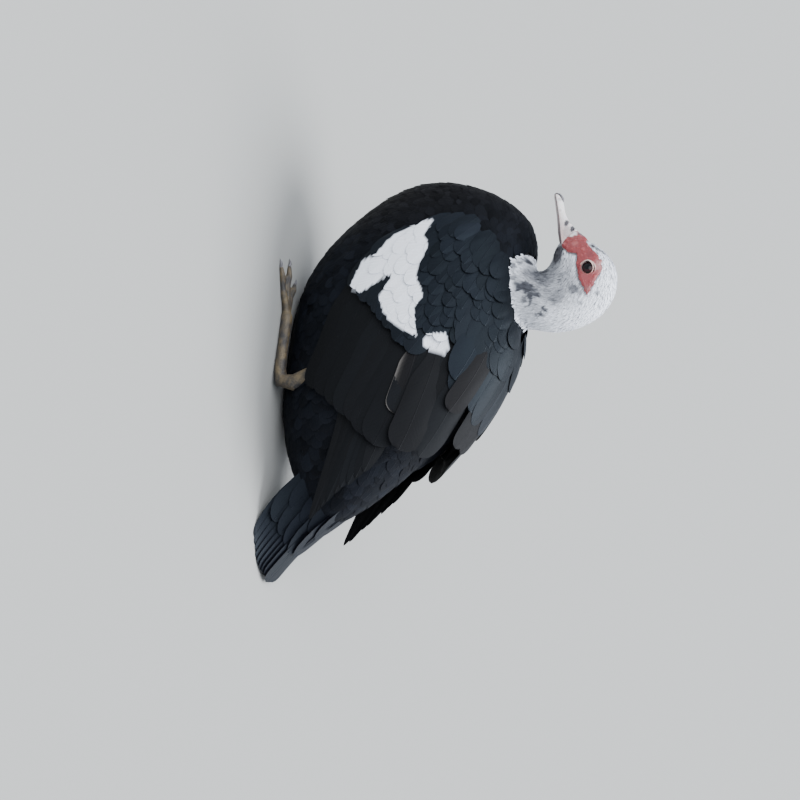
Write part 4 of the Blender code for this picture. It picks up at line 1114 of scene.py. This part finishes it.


# The bill: horn rounded from its sections, with nostrils, spots as in the photo, and painted shade under
# its upper half and along its mouth

billStations = [                # x, ridge z, mouth line z, half the width
    (-0.1330, 0.3090, 0.2925, 0.0160), (-0.1420, 0.3082, 0.2905, 0.0152),
    (-0.1500, 0.3066, 0.2885, 0.0136), (-0.1560, 0.3028, 0.2872, 0.0122),
    (-0.1620, 0.2976, 0.2858, 0.0112), (-0.1690, 0.2920, 0.2842, 0.0104),
    (-0.1780, 0.2874, 0.2820, 0.0099), (-0.1870, 0.2850, 0.2798, 0.0097),
    (-0.1930, 0.2830, 0.2778, 0.0086), (-0.1966, 0.2808, 0.2765, 0.0062),
    (-0.1983, 0.2790, 0.2758, 0.0028),
]
billMarks = {
    "horn": (0.70, 0.66, 0.65), "pink": (0.60, 0.42, 0.41), "dark": (0.045, 0.042, 0.050),
    # x, z, half its size each way, strength; the broad faint one at x -0.1500 is painted shade on the
    # bill's side
    "spots": [(-0.1556, 0.2998, 0.0068, 0.0022, 0.98), (-0.1612, 0.2931, 0.0054, 0.0023, 0.96),
              (-0.1640, 0.2965, 0.0018, 0.0044, 0.50), (-0.1560, 0.2940, 0.0040, 0.0026, 0.24),
              (-0.1500, 0.2965, 0.0090, 0.0060, 0.30), (-0.1760, 0.2850, 0.0022, 0.0012, 0.25),
              (-0.1900, 0.2822, 0.0030, 0.0016, 0.40)],
    "shade": (0.40, 0.86),              # painted shadow on the lower half, under the upper one: how dark it is at its tip and its base
    "rim": 0.55,                        # painted shade in the crease along the mouth: how dark both halves are there
    "roundedSpan": (-0.1965, -0.1335),  # from the tip to the gape, where the outside is rounded
    "voxel": 0.00040,
}


def makeBillHalf(name, node, rounded):
    bill = shellOf(name, billMarks["voxel"], 8, node)
    places, normals = pointsOf(bill), vertexNormals(bill)
    x, y, z = places.T
    dense = along(billStations, np.linspace(0, len(billStations) - 1, 400))
    order = np.argsort(dense[:, 0])
    ridge, mouth, wide = (np.interp(x, dense[order, 0], dense[order, k]) for k in (1, 2, 3))
    if rounded:
        up = np.maximum(z - mouth, 0)
        reach = np.sqrt((y / wide) ** 2 + (up / (ridge - mouth)) ** 2)
        outward = normals[:, 1] * y / wide ** 2 + normals[:, 2] * up / (ridge - mouth) ** 2
        first, last = billMarks["roundedSpan"]
        keep = smoothStep(0.86, 0.92, reach) * (outward > 0) * (x > first) * (x < last)
        grown = mix(1.0, 1 / np.maximum(reach, 0.5), keep)
        setPoints(bill, np.stack([x, y * grown, np.where(z > mouth, mouth + up * grown, z)], -1))
        smoothed(bill, 2)
    base = smoothStep(-0.172, -0.140, x)
    low = 1 - smoothStep(0.0, 0.5, (z - mouth) / np.maximum(ridge - mouth, 0.001))
    pink = np.clip(base * 0.55 + low * 0.35, 0, 1)
    tint = between(billMarks["horn"], billMarks["pink"], pink)
    dark = np.zeros(len(x))
    ripple = 0.12 * np.sin(1900 * x) * np.sin(2300 * z)
    for sx, sz, halfX, halfZ, strength in billMarks["spots"]:
        far = np.hypot((x - sx) / halfX, (z - sz) / halfZ) + ripple
        dark = np.maximum(dark, strength * (1 - smoothStep(0.60, 1.12, far)))
    dark *= 0.25 + 0.75 * smoothStep(0.0006, 0.0030, np.abs(y))         # fainter over the ridge
    # painted shade in the crease where the two halves meet along the mouth
    rim = 1 - smoothStep(0.0003, 0.0010, np.abs(z - mouth))
    dark = np.maximum(dark, billMarks["rim"] * rim)
    # painted shadow: the lower half darkened under the upper one, most at the base
    if not rounded:
        dark = np.maximum(dark, mix(*billMarks["shade"], smoothStep(-0.180, -0.146, x)))
    return finishShell(bill, between(tint, billMarks["dark"], dark))


legRise = {                     # how the shank is moved forwards and up, into the plumage
    "level": (0.030, 0.040),            # the heights between which it begins
    "reach": (-0.006, 0.0, 0.014),
    "behind": -0.05,                    # and only behind this x
}


# A remeshed and rounded copy of small hard or scaly nodes, kept above the floor
def makeHard(name, voxel, rounds, *nodes):
    piece = shellOf(name, voxel, rounds, *nodes)
    places = pointsOf(piece)
    places[:, 2] = np.maximum(places[:, 2], 0.0)
    raised = smoothStep(*legRise["level"], places[:, 2:]) * (places[:, :1] > legRise["behind"])
    setPoints(piece, places + raised * np.array(legRise["reach"]))
    return finishShell(piece)


# Materials

# Sets a node's socket to a value, or links another socket to it
def feed(tree, socket, value):
    if isinstance(value, bpy.types.NodeSocket):
        tree.links.new(value, socket)
    else:
        socket.default_value = value


def node(tree, kind, settings=None, **values):
    made = tree.nodes.new(kind)
    for key, value in (settings or {}).items():
        setattr(made, key, value)
    for key, value in values.items():
        feed(tree, made.inputs[key.replace("_", " ")], value)
    return made


def newMaterial(name, **values):
    made = bpy.data.materials.new(name)
    made.use_nodes = True
    shader = made.node_tree.nodes["Principled BSDF"]
    for key, value in values.items():
        shader.inputs[key.replace("_", " ")].default_value = value
    return made, made.node_tree, shader


def maths(tree, operation, *values):
    made = node(tree, "ShaderNodeMath", {"operation": operation})
    for socket, value in zip(made.inputs, values):
        feed(tree, socket, value)
    return made.outputs[0]


def readTint(tree):
    return node(tree, "ShaderNodeVertexColor", {"layer_name": "tint"}).outputs["Color"]


# Place on the object, which a mapping may stretch
def objectPlace(tree, stretch=None):
    place = node(tree, "ShaderNodeTexCoord").outputs["Object"]
    return node(tree, "ShaderNodeMapping", Vector=place, Scale=stretch).outputs[0] if stretch else place


def noise(tree, place, scale, detail):
    return node(tree, "ShaderNodeTexNoise", Vector=place, Scale=scale, Detail=detail).outputs[0]


# A value carried from one range to another
def spread(tree, value, old, new):
    return node(tree, "ShaderNodeMapRange", Value=value, From_Min=old[0], From_Max=old[1],
                To_Min=new[0], To_Max=new[1]).outputs[0]


# Two colours, each with the value at which it stands
def ramp(tree, value, *stops):
    made = node(tree, "ShaderNodeValToRGB", Fac=value)
    for element, (position, colour) in zip(made.color_ramp.elements, stops):
        element.position = position
        element.color = (*colour, 1)
    return made.outputs[0]


# A colour made lighter and darker over the surface
def shaded(tree, colour, factor):
    made = node(tree, "ShaderNodeVectorMath", {"operation": "SCALE"}, Scale=factor)
    tree.links.new(colour, made.inputs[0])
    return made.outputs[0]


# Joins colour and relief to the shader
def joinUp(tree, shader, colour, height, strength, depth):
    tree.links.new(colour, shader.inputs["Base Color"])
    bump = node(tree, "ShaderNodeBump", Height=height, Strength=strength, Distance=depth)
    tree.links.new(bump.outputs[0], shader.inputs["Normal"])


barbLook = {
    "slant": 1.3,               # how far the barbs lean to the tip, for each metre sideways
    "along": 1900.0, "sideways": 60.0,      # how fine they are
    "shaft": (0.0002, 0.0006),  # the shaft's half breadth, where it begins to fall and where it ends
    "shaftHeight": 1.5,
    "gloss": (-0.08, 0.10),     # how far the roughness varies
}


# Feather colour from its own attribute, with barbs and a shaft drawn on its own map
def plumageMaterial(name, roughness, barbs, specular, sheen=(1.0, 1.0, 1.0)):
    made, tree, shader = newMaterial(name, Specular_IOR_Level=specular,
                                     Specular_Tint=(*sheen, 1.0))
    blade = node(tree, "ShaderNodeUVMap", {"uv_map": "blade"}).outputs["UV"]
    parts = node(tree, "ShaderNodeSeparateXYZ", Vector=blade).outputs
    away = maths(tree, "ABSOLUTE", parts["X"])
    slant = maths(tree, "SUBTRACT", parts["Y"], maths(tree, "MULTIPLY", away, barbLook["slant"]))
    place = node(tree, "ShaderNodeCombineXYZ", X=maths(tree, "MULTIPLY", slant, barbLook["along"]),
                 Y=maths(tree, "MULTIPLY", parts["X"], barbLook["sideways"])).outputs[0]
    streak = noise(tree, place, 1.0, 2.0)
    shade = spread(tree, streak, (0.3, 0.7), (1.0 - barbs, 1.0 + barbs))
    rough = spread(tree, streak, (0.0, 1.0), [roughness + v for v in barbLook["gloss"]])
    tree.links.new(rough, shader.inputs["Roughness"])
    shaft = spread(tree, away, barbLook["shaft"], (1.0, 0.0))
    height = maths(tree, "ADD", maths(tree, "MULTIPLY", shaft, barbLook["shaftHeight"]), streak)
    joinUp(tree, shader, shaded(tree, readTint(tree), shade), height, 0.5, 0.00025)
    return made


def skinMaterial():
    made, tree, shader = newMaterial("skinUnderCoat", Roughness=0.8)
    grain = noise(tree, objectPlace(tree), 900.0, 3.0)
    colour = shaded(tree, readTint(tree), maths(tree, "ADD", grain, 0.2))
    joinUp(tree, shader, colour, grain, 0.5, 0.0004)
    return made


# Colour from the piece's own attribute, with a fine grain in its tone and its relief
def tintedMaterial(name, grain, depth, variation, **values):
    made, tree, shader = newMaterial(name, **values)
    fine = noise(tree, objectPlace(tree), grain, 4.0)
    shade = spread(tree, fine, (0.3, 0.7), (1 - variation, 1 + variation))
    joinUp(tree, shader, shaded(tree, readTint(tree), shade), fine, 0.6, depth)
    return made


legLook = {
    "plates": (800.0, 560.0, 700.0),        # how many plates to a metre
    "dark": (0.040, 0.036, 0.034), "light": (0.15, 0.112, 0.062),
    "uneven": (0.5, 0.72),                  # how the plates differ in tone, and the darkest of them
    "seam": 0.12, "seamTone": 0.55,         # half a seam's breadth, and its tone
}


# Scaly dusky skin: small plates with dark seams, some of them mottled
def legMaterial():
    made, tree, shader = newMaterial("legScales", Roughness=0.55)
    turned = objectPlace(tree, legLook["plates"])
    seams = node(tree, "ShaderNodeTexVoronoi", {"feature": "DISTANCE_TO_EDGE"}, Vector=turned,
                 Scale=1.0).outputs["Distance"]
    cells = node(tree, "ShaderNodeTexVoronoi", Vector=turned, Scale=1.0).outputs["Color"]
    blotch = noise(tree, objectPlace(tree), 90.0, 4.0)
    tone = ramp(tree, blotch, (0.38, legLook["dark"]), (0.62, legLook["light"]))
    grey = node(tree, "ShaderNodeRGBToBW", Color=cells).outputs[0]
    plate = maths(tree, "MULTIPLY_ADD", grey, *legLook["uneven"])
    groove = spread(tree, seams, (0.0, legLook["seam"]), (legLook["seamTone"], 1.0))
    colour = shaded(tree, tone, maths(tree, "MULTIPLY", plate, groove))
    joinUp(tree, shader, colour, groove, 0.7, 0.0004)
    return made


# Plain horn with faint lengthwise streaks
def hornMaterial(name, colour, roughness):
    made, tree, shader = newMaterial(name, Roughness=roughness)
    streak = noise(tree, objectPlace(tree, (120.0, 900.0, 900.0)), 1.0, 3.0)
    dark, light = ([c * share for c in colour] for share in (0.6, 1.5))
    joinUp(tree, shader, ramp(tree, streak, (0.3, dark), (0.7, light)), streak, 0.3, 0.0002)
    return made


# The picture: floor, light and the photo's camera

photoView = {                   # the photo lies on its side, so the camera is rolled to match
    "azimuth": 20.0, "elevation": 20.0,     # degrees
    "distance": 2.6,
    "pixelsPerMetre": 926.0, "imageSide": 800.0, "sensor": 36.0,
    "middle": (30.0, 107.0),                # the view's middle from the origin, pixels
}


def viewAxes():
    a, e = (math.radians(photoView[key]) for key in ("azimuth", "elevation"))
    back = Vector((math.sin(a) * math.cos(e), -math.cos(a) * math.cos(e), math.sin(e)))
    across = Vector((math.cos(a), math.sin(a), 0))
    return across, back.cross(across), back


def makeCamera():
    across, up, back = viewAxes()
    scale = photoView["pixelsPerMetre"]
    aim = across * (photoView["middle"][0] / scale) + up * (photoView["middle"][1] / scale)
    turned = Matrix((up, -across, back)).transposed()
    bpy.ops.object.camera_add(location=aim + back * photoView["distance"],
                              rotation=turned.to_euler())
    camera = bpy.context.object
    camera.name = "photoCamera"
    camera.data.sensor_width = photoView["sensor"]
    camera.data.lens = photoView["sensor"] * scale * photoView["distance"] / photoView["imageSide"]
    camera.data.clip_start = 0.05
    bpy.context.scene.camera = camera


studioLights = {                # where each shines from (across, up, back), its strength and softness
    "key": ((0.30, 1.0, 0.10), 6.0, 45.0),
    "side": ((-0.5, 0.7, 1.0), 3.6, 60.0),
    "rim": ((0.9, 0.7, -0.5), 1.2, 40.0),
}
studioTones = {
    "lamps": (0.95, 0.975, 1.0), "room": (0.76, 0.84, 0.96, 1), "floor": (0.30, 0.30, 0.29, 1),
}


def makeStudio():
    across, up, back = viewAxes()
    for name, (place, strength, softness) in studioLights.items():
        towards = across * place[0] + up * place[1] + back * place[2]
        aim = towards.to_track_quat("Z", "Y").to_euler()
        bpy.ops.object.light_add(type="SUN", location=towards.normalized() * 3, rotation=aim)
        lamp = bpy.context.object
        lamp.name = name + "Light"
        lamp.data.angle = math.radians(softness)
        lamp.data.energy = strength
        lamp.data.color = studioTones["lamps"]
    world = bpy.data.worlds.new("paleRoom")
    world.use_nodes = True
    room = world.node_tree.nodes["Background"].inputs
    room["Color"].default_value = studioTones["room"]
    room["Strength"].default_value = 1.0
    bpy.context.scene.world = world
    deselectAll()
    bpy.ops.mesh.primitive_plane_add(size=24.0, location=(0, 0, 0))
    floor = bpy.context.object
    floor.name = "floor"
    finish, *_ = newMaterial("paleFloor", Roughness=0.75, Base_Color=studioTones["floor"])
    floor.data.materials.append(finish)


makeCamera()
makeStudio()
print("camera and studio ready")

skin, coat = makeSkin()
dress(skin, "black_plumage", skinMaterial(), "torso", "neck", "head")
print("skin ready:", len(skin.data.polygons), "faces")

whitePlumage = plumageMaterial("whitePlumage", 0.62, 0.06, 0.25)
blackPlumage = plumageMaterial("blackPlumage", 0.62, 0.22, 0.05)
wingPlumage = plumageMaterial("wingPlumage", 0.48, 0.16, 0.14, (0.66, 0.84, 1.0))
quillPlumage = plumageMaterial("quillPlumage", 0.54, 0.18, 0.09, (0.86, 0.93, 1.0))

headCoat = makeCoat("headFeathers", coat, "head",
                    lambda p: (headShare(p) > 0.5) & ~bareHere(p), 21)
dress(headCoat, "white_plumage", whitePlumage)
frontCoat = makeCoat("breastFeathers", coat, "body",
                     lambda p: (headShare(p) < 0.5) & (p[:, 0] < -0.03), 22, bodySize)
dress(frontCoat, "black_plumage", blackPlumage)
backCoat = makeCoat("backFeathers", coat, "body",
                    lambda p: (headShare(p) < 0.5) & (p[:, 0] >= -0.03), 23, bodySize, 0.2)
dress(backCoat, "black_plumage", blackPlumage)
print("coat ready")

mantle = sheetSurface(mantleStations)
for word, side in sides.items():
    for piece in makeWing(word, side, mantle):
        finish = wingPlumage if "coverts" in piece.name else quillPlumage
        dress(piece, "black_plumage", finish, "wing_" + word)
print("wings ready")

chance = np.random.default_rng(70)
for row in ("stiff", "upper", "top", "under"):
    dress(makeTailRow("tail_" + row, row, chance), "black_plumage", wingPlumage, "tail")
print("tail ready")

faceFinish = tintedMaterial("redFace", 1500.0, 0.0002, 0.14, Roughness=0.42, Subsurface_Weight=0.12,
                            Subsurface_Scale=0.004)
lidFinish = tintedMaterial("lidRims", 2000.0, 0.0001, 0.12, Roughness=0.36)
eyeFinish = tintedMaterial("eyeGloss", 3000.0, 0.00001, 0.05, Roughness=0.05,
                           Specular_IOR_Level=0.18)
billFinish = tintedMaterial("billHorn", 700.0, 0.00025, 0.16, Roughness=0.38, Subsurface_Weight=0.08,
                            Subsurface_Scale=0.003)
nailFinish = hornMaterial("darkHorn", (0.12, 0.115, 0.125), 0.36)
for word, side in sides.items():
    dress(makeFace(word, side), "face_skin", faceFinish, "face_" + word)
    dress(makeLids(word, side), "face_skin", lidFinish)
    dress(makeEye(word, side), "eye", eyeFinish, "eye_" + word)
dress(makeBillHalf("billTop", "bill_upper", True), "bill_horn", billFinish, "bill_upper")
dress(makeBillHalf("billBottom", "bill_lower", False), "bill_horn", billFinish, "bill_lower")
dress(makeHard("billHook", 0.00030, 5, "bill_nail"), "nail_horn", nailFinish, "bill_nail")
print("face, eyes and bill ready")

legFinish = legMaterial()
toes = ("inner", "middle", "outer", "hind")
for word in sides:
    feet = makeHard("legAndFoot_" + word, 0.00070, 4, "leg_" + word, "foot_" + word)
    dress(feet, "leg_scales", legFinish, "leg_" + word, "foot_" + word)
    claws = [f"claw_{toe}_{word}" for toe in toes]
    dress(makeHard("claws_" + word, 0.00040, 4, *claws), "nail_horn", nailFinish, *claws)
print("legs and claws ready")
